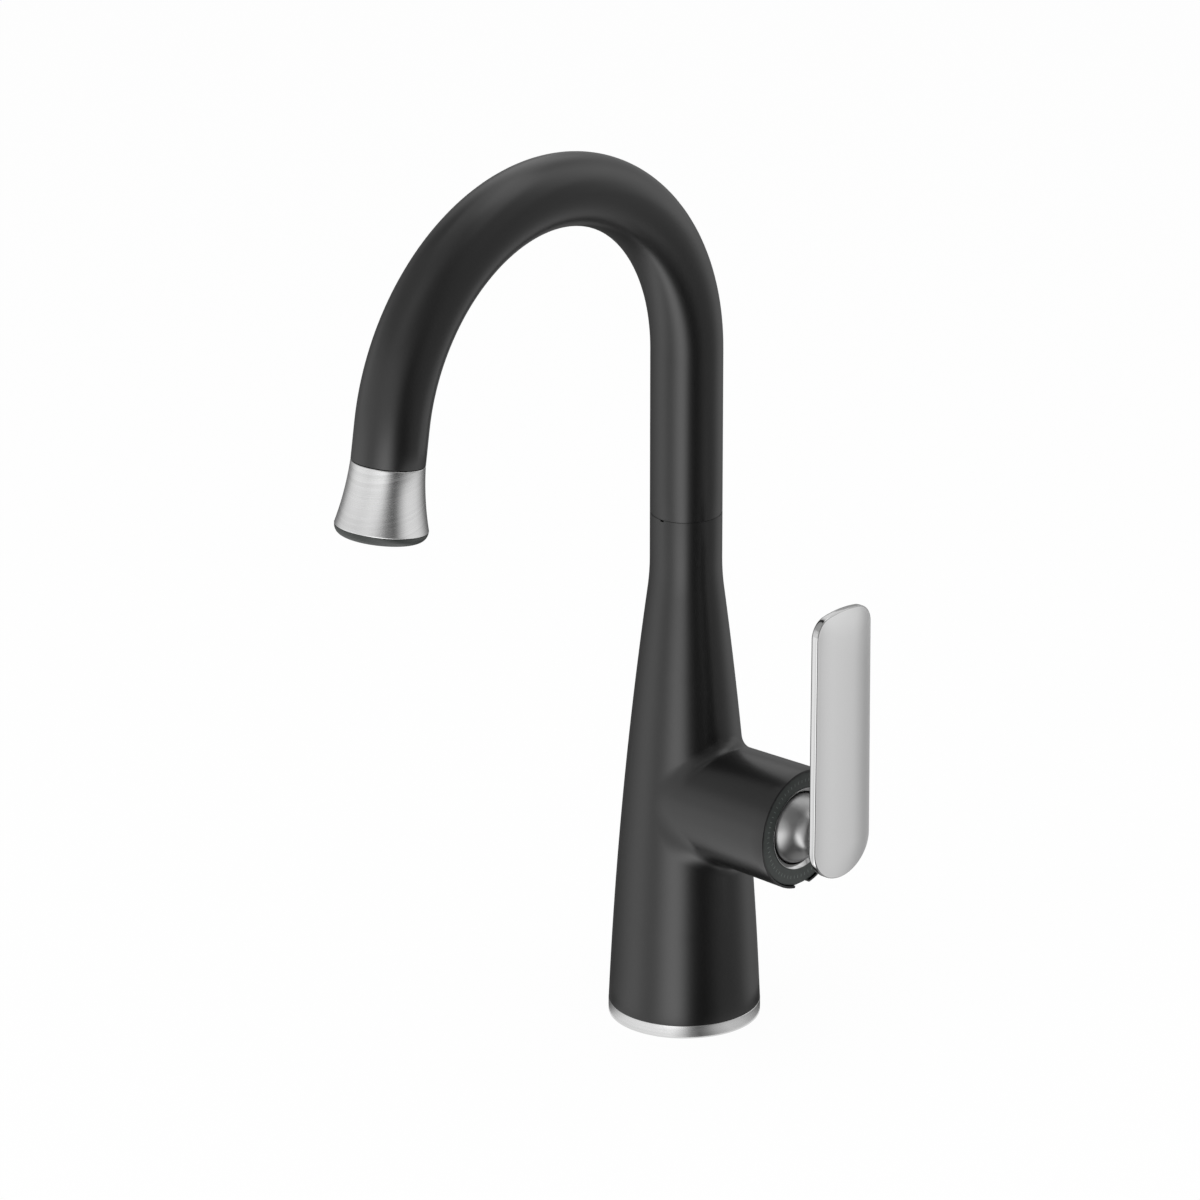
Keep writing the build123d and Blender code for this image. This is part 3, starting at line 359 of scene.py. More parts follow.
def make_finishes(colours, head_turn):
    """Every finish of the faucet by its slot."""
    brushing = {
        "roughness": 0.27, "grain": (80 * MM, 80 * MM, 1.0 * MM), "relief": 0.003 * MM,
        "metallic": 1.0, "tone": 0.14, "spread": 0.05,
    }
    texture = {
        "roughness": 0.45, "grain": even(0.35 * MM), "relief": 0.02 * MM, "tone": 0.12,
        "spread": 0.05,
    }
    return {
        # Satin black coat on metal: a soft sheen with a faint orange peel of about a millimetre
        "satin_black": grained(
            "satin_black_coat_sprayed", colours.black, roughness=0.29, grain=even(0.9 * MM),
            relief=0.004 * MM, tone=0.05, spread=0.02, IOR=1.55,
        ),
        # Stainless steel brushed round the deck axis: fine lines, drawn coarser than real to show
        "brushed_steel": grained("stainless_steel_brushed_round", colours.steel, **brushing),
        # The same brushing on the bell, which leans with the end of the spout
        "brushed_bell": grained(
            "stainless_steel_brushed_bell", colours.steel, turn=head_turn, **brushing
        ),
        # Chrome plate, polished: near mirror with slight polishing haze
        "polished_chrome": grained(
            "chrome_plate_polished", colours.chrome, roughness=0.08, grain=even(6 * MM),
            relief=0.0005 * MM, metallic=1.0, tone=0.02, spread=0.02,
        ),
        # Chrome plate, buffed: the ball under the blade, soft in its reflections; its grey is
        # painted shade, a darker chrome that stands in for the dim surroundings it reflects
        "buffed_chrome_painted_shade": grained(
            "chrome_plate_buffed_painted_shade", colours.dome, roughness=0.36, grain=even(3 * MM),
            relief=0.001 * MM, metallic=1.0, tone=0.03, spread=0.03,
        ),
        # Chrome plate over a blasted casting: an even, soft satin
        "satin_chrome": grained(
            "chrome_plate_satin", colours.satin, roughness=0.3, grain=even(0.5 * MM),
            relief=0.0015 * MM, metallic=1.0, tone=0.03, spread=0.03,
        ),
        # Dark grey moulded plastic with a fine spark-eroded texture
        "dark_trim": grained("abs_plastic_textured", colours.trim, **texture),
        # The same plastic, dyed darker, round the nozzles
        "dark_nozzle": grained("abs_plastic_textured_dark", colours.nozzle, **texture),
        # Printed ticks: matt ink, a little paler than the ring
        "tick_print": grained(
            "pad_print_ink", colours.tick, roughness=0.6, grain=even(0.3 * MM),
            relief=0.004 * MM, tone=0.1,
        ),
        # Black rubber: matt, with a bloom in patches
        "rubber": grained(
            "nitrile_rubber_moulded", colours.rubber, roughness=0.7, grain=even(1.5 * MM),
            relief=0.02 * MM, tone=0.2,
        ),
        # Grey silicone of the nozzles: matt and slightly waxy
        "grey_rubber": grained(
            "silicone_rubber_moulded", colours.silicone, roughness=0.55, grain=even(0.8 * MM),
            relief=0.01 * MM,
        ),
        # Brass, turned on a lathe: fine tool marks across the axis
        "brass": grained(
            "brass_machined", colours.brass, roughness=0.28, grain=(4 * MM, 4 * MM, 0.4 * MM),
            relief=0.008 * MM, metallic=1.0, tone=0.08, spread=0.06,
        ),
        # Copper tube, drawn: long soft streaks along the tube
        "copper": grained(
            "copper_tube_drawn", colours.copper, roughness=0.32,
            grain=(0.8 * MM, 0.8 * MM, 12 * MM), relief=0.006 * MM, metallic=1.0, tone=0.12,
            spread=0.08,
        ),
        # Stainless steel, machined: faint tool marks across the axis
        "stainless": grained(
            "stainless_steel_machined", colours.stainless, roughness=0.32,
            grain=(3 * MM, 3 * MM, 0.5 * MM), relief=0.008 * MM, metallic=1.0, tone=0.06,
            spread=0.06,
        ),
        # White acetal: moulded, slightly waxy
        "white_plastic": grained(
            "acetal_moulded", colours.acetal, roughness=0.42, grain=even(1.2 * MM),
            relief=0.01 * MM, tone=0.03,
        ),
        # Alumina ceramic, lapped: smooth and pale
        "ceramic": grained(
            "alumina_ceramic_lapped", colours.ceramic, roughness=0.18, grain=even(2 * MM),
            relief=0.001 * MM, tone=0.02,
        ),
        # Nylon braid over the hose: ribs that cross, with painted shade between them and a painted
        # highlight on their tops
        "hose_sleeve": woven_sleeve_painted_shade(colours.sleeve, pitch=1.1 * MM),
    }


finishes = {}


# Shapes


def placed(origin, across, along):
    """A place whose local x runs across and whose local z runs along."""
    x, z = Vector(across).normalized(), Vector(along).normalized()
    y = z.cross(x)
    return Matrix.Translation(origin) @ Matrix((x, y, z)).transposed().to_4x4()


def hub_place(body):
    """Local z runs along the hub axis from the body axis, local x is +Y and local y is +Z."""
    return placed((0, 0, body.hub_height), (0, 1, 0), (1, 0, 0))


def arch_point(spout, turn):
    """Point on the centre line of the arch."""
    reach = spout.arch_radius
    return Vector((0, reach * cos(turn) - reach, spout.arch_height + reach * sin(turn)))


def arch_way(turn):
    """Direction of the centre line at a turn of the arch."""
    return Vector((0, -sin(turn), cos(turn)))


def head_place(spout):
    """Local z runs down the spray head's axis from the end of the arch."""
    return placed(arch_point(spout, spout.arch_angle), (1, 0, 0), arch_way(spout.arch_angle))


def spaced(low, high, steps):
    """Evenly spaced values from low to high, both included."""
    return [low + (high - low) * k / steps for k in range(steps + 1)]


def full_turn(segments):
    """Evenly spaced angles round a full turn."""
    return [2 * pi * j / segments for j in range(segments)]


def round_point(radius, turn, along=0.0):
    """A point at a radius, an angle and a height about the z axis."""
    return Vector((radius * cos(turn), radius * sin(turn), along))


def circle_through(first, second, third):
    """Centre and radius of the circle through three points of a plane."""
    (ax, ay), (bx, by), (cx, cy) = first, second, third
    d = 2 * (ax * (by - cy) + bx * (cy - ay) + cx * (ay - by))
    a2, b2, c2 = ax * ax + ay * ay, bx * bx + by * by, cx * cx + cy * cy
    x = (a2 * (by - cy) + b2 * (cy - ay) + c2 * (ay - by)) / d
    y = (a2 * (cx - bx) + b2 * (ax - cx) + c2 * (bx - ax)) / d
    return x, y, hypot(ax - x, ay - y)


def swing(centre, start, end, steps):
    """Points of the short arc from start to end about a centre."""
    first = atan2(start[1] - centre[1], start[0] - centre[0])
    turn = (atan2(end[1] - centre[1], end[0] - centre[0]) - first + pi) % (2 * pi) - pi
    reach = hypot(start[0] - centre[0], start[1] - centre[1])
    return [
        (centre[0] + reach * cos(t), centre[1] + reach * sin(t))
        for t in spaced(first, first + turn, steps)
    ]


def tangent_swing(start, way, end, steps):
    """Points of the arc that leaves start along a direction and reaches end."""
    chord = (end[0] - start[0], end[1] - start[1])
    lean = atan2(way[0] * chord[1] - way[1] * chord[0], way[0] * chord[0] + way[1] * chord[1])
    size = hypot(*chord) / sin(lean)
    heading = atan2(way[1], way[0])
    return [
        (start[0] + size * sin(t) * cos(heading + t), start[1] + size * sin(t) * sin(heading + t))
        for t in spaced(0, lean, steps)
    ]


def eased(corners, steps=5):
    """A closed outline of (radius, along, ease) corners, each rounded by its ease."""
    most_of_a_side = 0.49
    outline = []
    for i, (radius, along, ease) in enumerate(corners):
        here = Vector((radius, along))
        if ease == 0:
            outline.append(tuple(here))
            continue
        back = Vector(corners[i - 1][:2]) - here
        ahead = Vector(corners[(i + 1) % len(corners)][:2]) - here
        half = back.angle(ahead) / 2
        cut = min(ease / tan(half), most_of_a_side * min(back.length, ahead.length))
        back.normalize()
        ahead.normalize()
        middle = here + (back + ahead).normalized() * (cut / cos(half))
        outline += swing(middle, here + back * cut, here + ahead * cut, steps)
    return outline


def band(inner, outer, low, high, ease):
    """Corners of a plain ring whose edges are all eased alike."""
    return [(inner, low, ease), (outer, low, ease), (outer, high, ease), (inner, high, ease)]


def plain(points):
    """Outline points that stay as they are in an eased outline."""
    return [(radius, along, 0) for radius, along in points]


def loft(rings, closed=True, capped=False):
    """Vertices and faces through rings of as many points each."""
    size = len(rings[0])
    points = [p for ring in rings for p in ring]
    faces = []
    for i in range(len(rings) if closed else len(rings) - 1):
        a, b = i * size, (i + 1) % len(rings) * size
        faces += [(a + j, a + (j + 1) % size, b + (j + 1) % size, b + j) for j in range(size)]
    if capped:
        faces.append(tuple(range(size - 1, -1, -1)))
        faces.append(tuple(range(len(points) - size, len(points))))
    return points, faces


def round_ring(place, radius, along, segments):
    """A ring of points about a place's axis."""
    return [place @ round_point(radius, turn, along) for turn in full_turn(segments)]


def turned(outline, place=Matrix(), segments=HIDDEN_ROUND):
    """A closed outline turned about the axis of a place."""
    return loft([round_ring(place, radius, along, segments) for radius, along in outline])


def hexagon_radius(across_flats, turn):
    """Distance from the centre to a hexagon's side at an angle."""
    return across_flats / 2 / cos(turn % (pi / 3) - pi / 6)


def shaped(name, shapes):
    """A mesh of (points, faces, finish number) shapes, merged and facing outwards."""
    weld, sliver = 0.001 * MM, 0.0001 * MM
    work = bmesh.new()
    for points, faces, number in shapes:
        corners = [work.verts.new(p) for p in points]
        for face in faces:
            work.faces.new([corners[i] for i in face]).material_index = number
    bmesh.ops.remove_doubles(work, verts=work.verts, dist=weld)
    bmesh.ops.dissolve_degenerate(work, edges=work.edges, dist=sliver)
    bare = [edge for edge in work.edges if not edge.link_faces]
    bmesh.ops.delete(work, geom=bare, context="EDGES")
    bmesh.ops.recalc_face_normals(work, faces=work.faces)
    mesh = bpy.data.meshes.new(name)
    work.to_mesh(mesh)
    work.free()
    return mesh


def linked(name, data):
    """An object for its data, in the scene."""
    made = bpy.data.objects.new(name, data)
    bpy.context.scene.collection.objects.link(made)
    return made


def shown(name, mesh):
    """An object for a mesh, smooth but for its sharp edges."""
    sharpest_bend = radians(32)
    mesh.shade_smooth()
    mesh.set_sharp_from_angle(angle=sharpest_bend)
    return linked(name, mesh)


def settle(piece, body, slot, *nodes):
    """The piece rides on its body and stands for its nodes."""
    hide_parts(*nodes)
    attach(piece, body)


def build(name, shapes, coats, body, slot, *nodes):
    """A finished piece from its shapes and the finishes that they number."""
    mesh = shaped(name, shapes)
    for coat in coats:
        mesh.materials.append(finishes[coat])
    settle(shown(name, mesh), body, slot, *nodes)


def turned_piece(
    name, corners, coat, body, node, place=Matrix(), segments=HIDDEN_ROUND, slot=None
):
    """A finished piece turned from the corners of its eased outline."""
    shape = turned(eased(corners), place, segments)
    build(name, [(*shape, 0)], [coat], body, slot or coat, node)


def round_pattern():
    """A node tree that sets copies of one object round a circle about local z."""
    tree = bpy.data.node_groups.new("round_pattern", "GeometryNodeTree")
    inputs = {"Item": "Object", "Count": "Int", "Circle radius": "Float", "Finish": "Material"}
    for name, kind in inputs.items():
        tree.interface.new_socket(name=name, in_out="INPUT", socket_type="NodeSocket" + kind)
    tree.interface.new_socket(name="Geometry", in_out="OUTPUT", socket_type="NodeSocketGeometry")
    given = add(tree, "NodeGroupInput").outputs
    item = add(tree, "GeometryNodeObjectInfo", {"Object": given["Item"]}).outputs["Geometry"]
    offset = add(tree, "ShaderNodeCombineXYZ", {"X": given["Circle radius"]})
    moved = add(tree, "GeometryNodeTransform", {"Geometry": item, "Translation": offset})
    points = add(tree, "GeometryNodePoints", {"Count": given["Count"]})
    number = add(tree, "GeometryNodeInputIndex")
    share = add(tree, "ShaderNodeMath", {0: number, 1: given["Count"]}, operation="DIVIDE")
    turn = add(tree, "ShaderNodeMath", {0: share, 1: 2 * pi}, operation="MULTIPLY")
    spin = add(tree, "ShaderNodeCombineXYZ", {"Z": turn})
    rotation = add(tree, "FunctionNodeEulerToRotation", {0: spin})
    placing = {"Points": points, "Instance": moved, "Rotation": rotation}
    copies = add(tree, "GeometryNodeInstanceOnPoints", placing)
    real = add(tree, "GeometryNodeRealizeInstances", {"Geometry": copies})
    finish = {"Geometry": real, "Material": given["Finish"]}
    add(tree, "NodeGroupOutput", {0: add(tree, "GeometryNodeSetMaterial", finish)})
    return tree


def patterned(name, item_shapes, circles, coat, place):
    """A mesh of one small shape set round one or more circles, given as (count, radius)."""
    tree = bpy.data.node_groups.get("round_pattern") or round_pattern()
    item = shown(name + "_item", shaped(name + "_item", item_shapes))
    work = bmesh.new()
    for copies, radius in circles:
        holder = linked(name, bpy.data.meshes.new(name))
        pattern = holder.modifiers.new("pattern", "NODES")
        pattern.node_group = tree
        values = {"Item": item, "Count": copies, "Circle radius": radius, "Finish": finishes[coat]}
        for socket in tree.interface.items_tree:
            if socket.in_out == "INPUT":
                pattern[socket.identifier] = values[socket.name]
        depsgraph = bpy.context.evaluated_depsgraph_get()
        made = bpy.data.meshes.new_from_object(holder.evaluated_get(depsgraph))
        work.from_mesh(made)
        holder.modifiers.remove(pattern)
        bpy.data.objects.remove(holder)
        bpy.data.meshes.remove(made)
    bpy.data.objects.remove(item)
    mesh = bpy.data.meshes.new(name)
    work.to_mesh(mesh)
    work.free()
    mesh.transform(place)
    mesh.materials.append(finishes[coat])
    return mesh


def carved(name, outer, cutters):
    """A mesh of an outer solid with other solids cut away."""
    holder = shown(name, shaped(name, [(*outer, 0)]))
    tools = [shown(name + "_cutter", shaped(name, [(*cutter, 0)])) for cutter in cutters]
    for tool in tools:
        cut = holder.modifiers.new("cut", "BOOLEAN")
        cut.operation = "DIFFERENCE"
        cut.solver = "EXACT"
        cut.object = tool
    depsgraph = bpy.context.evaluated_depsgraph_get()
    mesh = bpy.data.meshes.new_from_object(holder.evaluated_get(depsgraph))
    for used in (holder, *tools):
        bpy.data.objects.remove(used)
    mesh.materials.clear()
    return mesh


def box_shape(low, high):
    """A plain box between two corners."""
    corners = ((low[0], low[1]), (high[0], low[1]), (high[0], high[1]), (low[0], high[1]))
    rings = [[Vector((x, y, z)) for x, y in corners] for z in (low[2], high[2])]
    return loft(rings, closed=False, capped=True)


# Gooseneck


def gooseneck(spout, base):
    """The bent tube with eased ends, outside first and then back along its bore."""
    segments, riser_steps, arch_steps, rim_steps = 72, 6, 110, 4
    ease = 0.08 * MM
    outer, bore = spout.tube_radius, spout.tube_radius - spout.tube_wall
    up, seam = Vector((0, 0, 1)), Vector((0, 0, base))
    tip_way = arch_way(spout.arch_angle)
    tip = arch_point(spout, spout.arch_angle) + tip_way * spout.straight_end
    quarter = spaced(0, pi / 2, rim_steps)
    rim = [(ease * (1 - cos(t)), outer - ease + ease * sin(t)) for t in quarter]
    turns = spaced(0, spout.arch_angle, arch_steps)
    arch = [(arch_point(spout, turn), arch_way(turn)) for turn in turns]
    stations = [(seam + up * inset, up, radius) for inset, radius in rim]
    for z in spaced(base, spout.arch_height, riser_steps)[1:-1]:
        stations.append((up * z, up, outer))
    stations += [(point, way, outer) for point, way in arch]
    stations += [(tip - tip_way * inset, tip_way, radius) for inset, radius in reversed(rim)]
    stations.append((tip, tip_way, bore))
    stations += [(point, way, bore) for point, way in arch[::-2]]
    stations.append((seam, up, bore))
    return loft([round_ring(placed(p, (1, 0, 0), way), r, 0, segments) for p, way, r in stations])


class FAUCET_OT_spout(bpy.types.Operator):
    """Build the bent black tube of the spout"""

    bl_idname = "faucet.make_spout"
    bl_label = "Gooseneck"

    def execute(self, context):
        spout = context.scene.faucet_spout
        tube = gooseneck(spout, foot("spout_tube").z)
        build("gooseneck", [(*tube, 0)], ["satin_black"], "spout", "satin_black", "spout_tube")
        return {"FINISHED"}


# Body casting


class BodySide:
    """The casting's side, the boss on it and the blend where they meet."""

    def __init__(self, body, tube_radius):
        self.body = body
        self.tube_radius = tube_radius
        self.shoulder = body.seam_height - body.neck_length
        self.x, self.z, self.arc = circle_through(
            (body.base_radius, body.base_height),
            (body.waist_radius, body.waist_height),
            (body.shoulder_radius, self.shoulder),
        )
        lean = atan2(self.shoulder - self.z, body.shoulder_radius - self.x)
        self.collar_arc = (body.shoulder_radius - tube_radius) / (1 - cos(lean))
        self.collar = self.shoulder + self.collar_arc * sin(lean)
        self.root = self.radius(body.hub_height) - body.hub_root_step
        self.flare = (body.hub_radius - self.root) / body.hub_reach

    def radius(self, z, inset=0.0):
        """Radius of the casting at a height, or of a surface inset from its side."""
        if z <= self.shoulder:
            return self.x + sqrt((self.arc - inset) ** 2 - (z - self.z) ** 2)
        if z >= self.collar:
            return self.tube_radius
        drop = sqrt(self.collar_arc**2 - (z - self.collar) ** 2)
        return self.tube_radius + self.collar_arc - drop

    def point(self, turn, z):
        """Point on the side at an angle from +X and a height."""
        return round_point(self.radius(z), turn, z)

    def on_boss(self, lean, reach):
        """Point on the boss at an angle about the hub axis."""
        radius = self.root + self.flare * reach
        return Vector((reach, radius * cos(lean), self.body.hub_height + radius * sin(lean)))

    def blend(self, lean, steps):
        """Where a ball rolling between boss and side touches the boss, and its arc there."""
        sharpness, halvings = 6, 50
        ball = self.body.hub_blend
        ball += (self.body.side_blend - ball) * cos(lean) ** sharpness
        outward = Vector((-self.flare, cos(lean), sin(lean))).normalized()

        def clear(reach):
            centre = self.on_boss(lean, reach) + outward * ball
            from_axis = hypot(centre.x, centre.y)
            return hypot(from_axis - self.x, centre.z - self.z) - self.arc - ball

        near, far = 0.0, self.body.hub_reach
        for _ in range(halvings):
            middle = (near + far) / 2
            near, far = (middle, far) if clear(middle) < 0 else (near, middle)
        foot_on_boss = self.on_boss(lean, near)
        centre = foot_on_boss + outward * ball
        from_axis = hypot(centre.x, centre.y)
        gap = hypot(from_axis - self.x, centre.z - self.z)
        inward = (from_axis - self.x) / gap / from_axis
        to_side = Vector((centre.x * inward, centre.y * inward, (centre.z - self.z) / gap))
        foot_on_side = centre - ball * to_side
        start, end = foot_on_side - centre, foot_on_boss - centre
        whole = start.angle(end)
        return near, [
            centre
            + (start * sin(whole * (1 - k / steps)) + end * sin(whole * k / steps)) / sin(whole)
            for k in range(steps + 1)
        ]


def casting_outside(side):
    """The closed outside of the casting: its turned side, the boss and their blend."""
    body = side.body
    columns, window, rows = 96, 28, 36
    window_low, window_high = 38 * MM, 132 * MM
    ease, seam_ease, rim_steps = 0.2 * MM, 0.08 * MM, 4
    points, faces = [], []

    def patch(rings, closed):
        base = len(points)
        more, quads = loft(rings, closed=False)
        points.extend(more)
        size = len(rings[0])
        for quad in quads:
            if closed or abs(quad[0] - quad[1]) == 1:
                faces.append(tuple(base + i for i in quad))
        return base, size

    def turn_at(j):
        return 2 * pi * j / columns

    low_steps, high_steps, collar_steps = 8, 8, 10
    levels = spaced(window_low, window_high, rows)
    lower = spaced(body.base_height, window_low, low_steps)
    upper = spaced(window_high, side.shoulder, high_steps)[:-1]
    upper += spaced(side.shoulder, side.collar, collar_steps)
    upper.append(body.seam_height - seam_ease)
    around = range(columns)
    patch([[side.point(turn_at(j), z) for j in around] for z in lower], True)
    patch([[side.point(turn_at(j), z) for j in around] for z in upper], True)
    back = range(window, columns - window + 1)
    patch([[side.point(turn_at(j), z) for j in back] for z in levels], False)

    half = rows // 2
    frame_cells = [(window, i) for i in range(half, rows + 1)]
    frame_cells += [(j, rows) for j in range(window - 1, -window - 1, -1)]
    frame_cells += [(-window, i) for i in range(rows - 1, -1, -1)]
    frame_cells += [(j, 0) for j in range(-window + 1, window + 1)]
    frame_cells += [(window, i) for i in range(1, half)]
    leans = [atan2((i - half) / half, j / window) for j, i in frame_cells]
    blend_steps, boss_steps, web_steps, crowding = 14, 8, 12, 1.3
    blends = [side.blend(lean, blend_steps) for lean in leans]
    web = []
    for step in spaced(0, 1, web_steps):
        share = step**crowding
        ring = []
        for (j, i), (_, arc) in zip(frame_cells, blends):
            near_turn, near_z = atan2(arc[0].y, arc[0].x), arc[0].z
            turn = near_turn + (turn_at(j) - near_turn) * share
            ring.append(side.point(turn, near_z + (levels[i] - near_z) * share))
        web.append(ring)
    patch(web, True)
    patch([[arc[k] for _, arc in blends] for k in range(blend_steps + 1)], True)
    boss_end = body.hub_reach - ease
    boss = []
    for share in spaced(0, 1, boss_steps):
        reaches = [reach + (boss_end - reach) * share for reach, _ in blends]
        boss.append([side.on_boss(lean, reach) for lean, reach in zip(leans, reaches)])
    patch(boss, True)

    def rounded_end(ring_at, size_of_ease):
        turns = spaced(0, pi / 2, rim_steps)
        rings = [ring_at(size_of_ease * (1 - cos(t)), size_of_ease * sin(t)) for t in turns]
        base, size = patch(rings, True)
        faces.append(tuple(range(base + rim_steps * size, base + (rim_steps + 1) * size)))

    def boss_rim(inset, advance):
        inner = side.root + side.flare * boss_end - inset
        place = placed((boss_end + advance, 0, body.hub_height), (0, 1, 0), (1, 0, 0))
        return [place @ round_point(inner, lean) for lean in leans]

    def neck_rim(inset, advance):
        height = body.seam_height - seam_ease + advance
        return round_ring(Matrix(), side.tube_radius - inset, height, columns)

    rounded_end(boss_rim, ease)
    rounded_end(neck_rim, seam_ease)
    faces.append(tuple(around))
    return points, faces


def casting_cutters(side):
    """What is cut out of the casting: cavity, bores, drain notch and seam mark."""
    body = side.body
    over, into_pocket = 2 * MM, 0.3 * MM
    swivel_floor = body.seam_height - body.swivel_depth
    floor_top = body.base_height + body.floor
    wall_steps = 24
    heights = spaced(floor_top, swivel_floor, wall_steps)
    wall = [(side.radius(z, body.wall), z) for z in heights]
    cavity = [
        (0, body.base_height - over),
        (body.shank_radius, body.base_height - over),
        (body.shank_radius, floor_top),
        *wall,
        (body.swivel_bore, swivel_floor),
        (body.swivel_bore, body.seam_height + over),
        (0, body.seam_height + over),
    ]
    lip_radius = body.hub_radius - body.lip_wall
    pocket = body.hub_reach - body.trim_recess - body.trim_thickness
    bores = [
        (0, 0),
        (body.cartridge_bore, 0),
        (body.cartridge_bore, pocket),
        (lip_radius, pocket),
        (lip_radius, body.hub_reach + over),
        (0, body.hub_reach + over),
    ]
    drain = box_shape(
        (body.hub_reach - body.drain_length, -body.drain_width / 2,
         body.hub_height - body.hub_radius - over),
        (body.hub_reach + over, body.drain_width / 2, body.hub_height - lip_radius + into_pocket),
    )
    mark = box_shape(
        (-body.mark_width / 2, -side.tube_radius - over, body.seam_height - body.mark_height),
        (body.mark_width / 2, -side.tube_radius + body.mark_depth, body.seam_height + over),
    )
    return [turned(cavity), turned(bores, hub_place(body)), drain, mark]


class FAUCET_OT_body(bpy.types.Operator):
    """Build the tapered black casting with its boss"""

    bl_idname = "faucet.make_body"
    bl_label = "Body casting"

    def execute(self, context):
        side = BodySide(context.scene.faucet_body, context.scene.faucet_spout.tube_radius)
        mesh = carved("body_casting", casting_outside(side), casting_cutters(side))
        mesh.materials.append(finishes["satin_black"])
        settle(shown("body_casting", mesh), "body", "satin_black", "body_shell")
        return {"FINISHED"}


# Base ring and what is under the deck


def threaded_tube(body, low, high, thread_high):
    """The shank: a tube whose outside carries a helical thread up to a height."""
    segments, steps_per_pitch, first_turn = 72, 8, 0.2
    pitch, depth = body.thread_pitch, body.thread_depth
    rows = int((high - low) / pitch * steps_per_pitch)
    bore = body.shank_radius - body.shank_wall
    rings = []
    for z in spaced(low, high, rows):
        fade = min(1.0, max(0.0, (thread_high - z) / pitch), first_turn + (z - low) / pitch)
        ring = []
        for turn in full_turn(segments):
            phase = (z / pitch - turn / (2 * pi)) % 1.0
            groove = depth * (1 - abs(2 * phase - 1)) * fade
            ring.append(round_point(body.shank_radius - groove, turn, z))
        rings.append(ring)
    rings.append(round_ring(Matrix(), bore, high, segments))
    rings.append(round_ring(Matrix(), bore, low, segments))
    return loft(rings)


def hexagon_piece(centre, across_flats, low, high, bore_outline, segments=HIDDEN_ROUND):
    """A hexagon with turned-off corners, and a bore whose outline runs from high to low."""
    corner = across_flats / 2 / cos(pi / 6)
    bevel_share, end_share, steps = 0.6, 0.97, 6
    bevel = (corner - across_flats / 2) * bevel_share
    end_radius = across_flats / 2 * end_share
    rows = ((low, end_radius), (low + bevel, corner), (high - bevel, corner), (high, end_radius))
    place = Matrix.Translation((*centre, 0))
    turns = full_turn(segments)
    rings = []
    for (z0, cone0), (z1, cone1) in zip(rows, rows[1:]):
        for z, cone in zip(spaced(z0, z1, steps), spaced(cone0, cone1, steps)):
            radii = [min(cone, hexagon_radius(across_flats, turn)) for turn in turns]
            rings.append([place @ round_point(r, turn, z) for r, turn in zip(radii, turns)])
    rings += [round_ring(place, radius, z, segments) for radius, z in bore_outline]
    return loft(rings)


def socket_screw(radius, head_radius, head_height, span):
    """A clamp screw hung by its head, with a hexagon socket in the head's foot."""
    segments = 48
    tip_ease, seat_ease, foot_ease = 0.6 * MM, 0.2 * MM, 0.4 * MM
    socket_edge, socket_floor = head_radius * 0.6, head_height * 0.35
    outline = eased(
        [
            (0, span, 0),
            (radius, span, tip_ease),
            (radius, 0, 0),
            (head_radius, 0, seat_ease),
            (head_radius, -head_height, foot_ease),
            (socket_edge, -head_height, 0),
        ]
    )
    rings = [round_ring(Matrix(), r, z, segments) for r, z in outline]
    for depth in (head_height, socket_floor):
        rings.append(
            [round_point(hexagon_radius(head_radius, t), t, -depth) for t in full_turn(segments)]
        )
    rings.append(round_ring(Matrix(), 0, -socket_floor, segments))
    return loft(rings, closed=False)


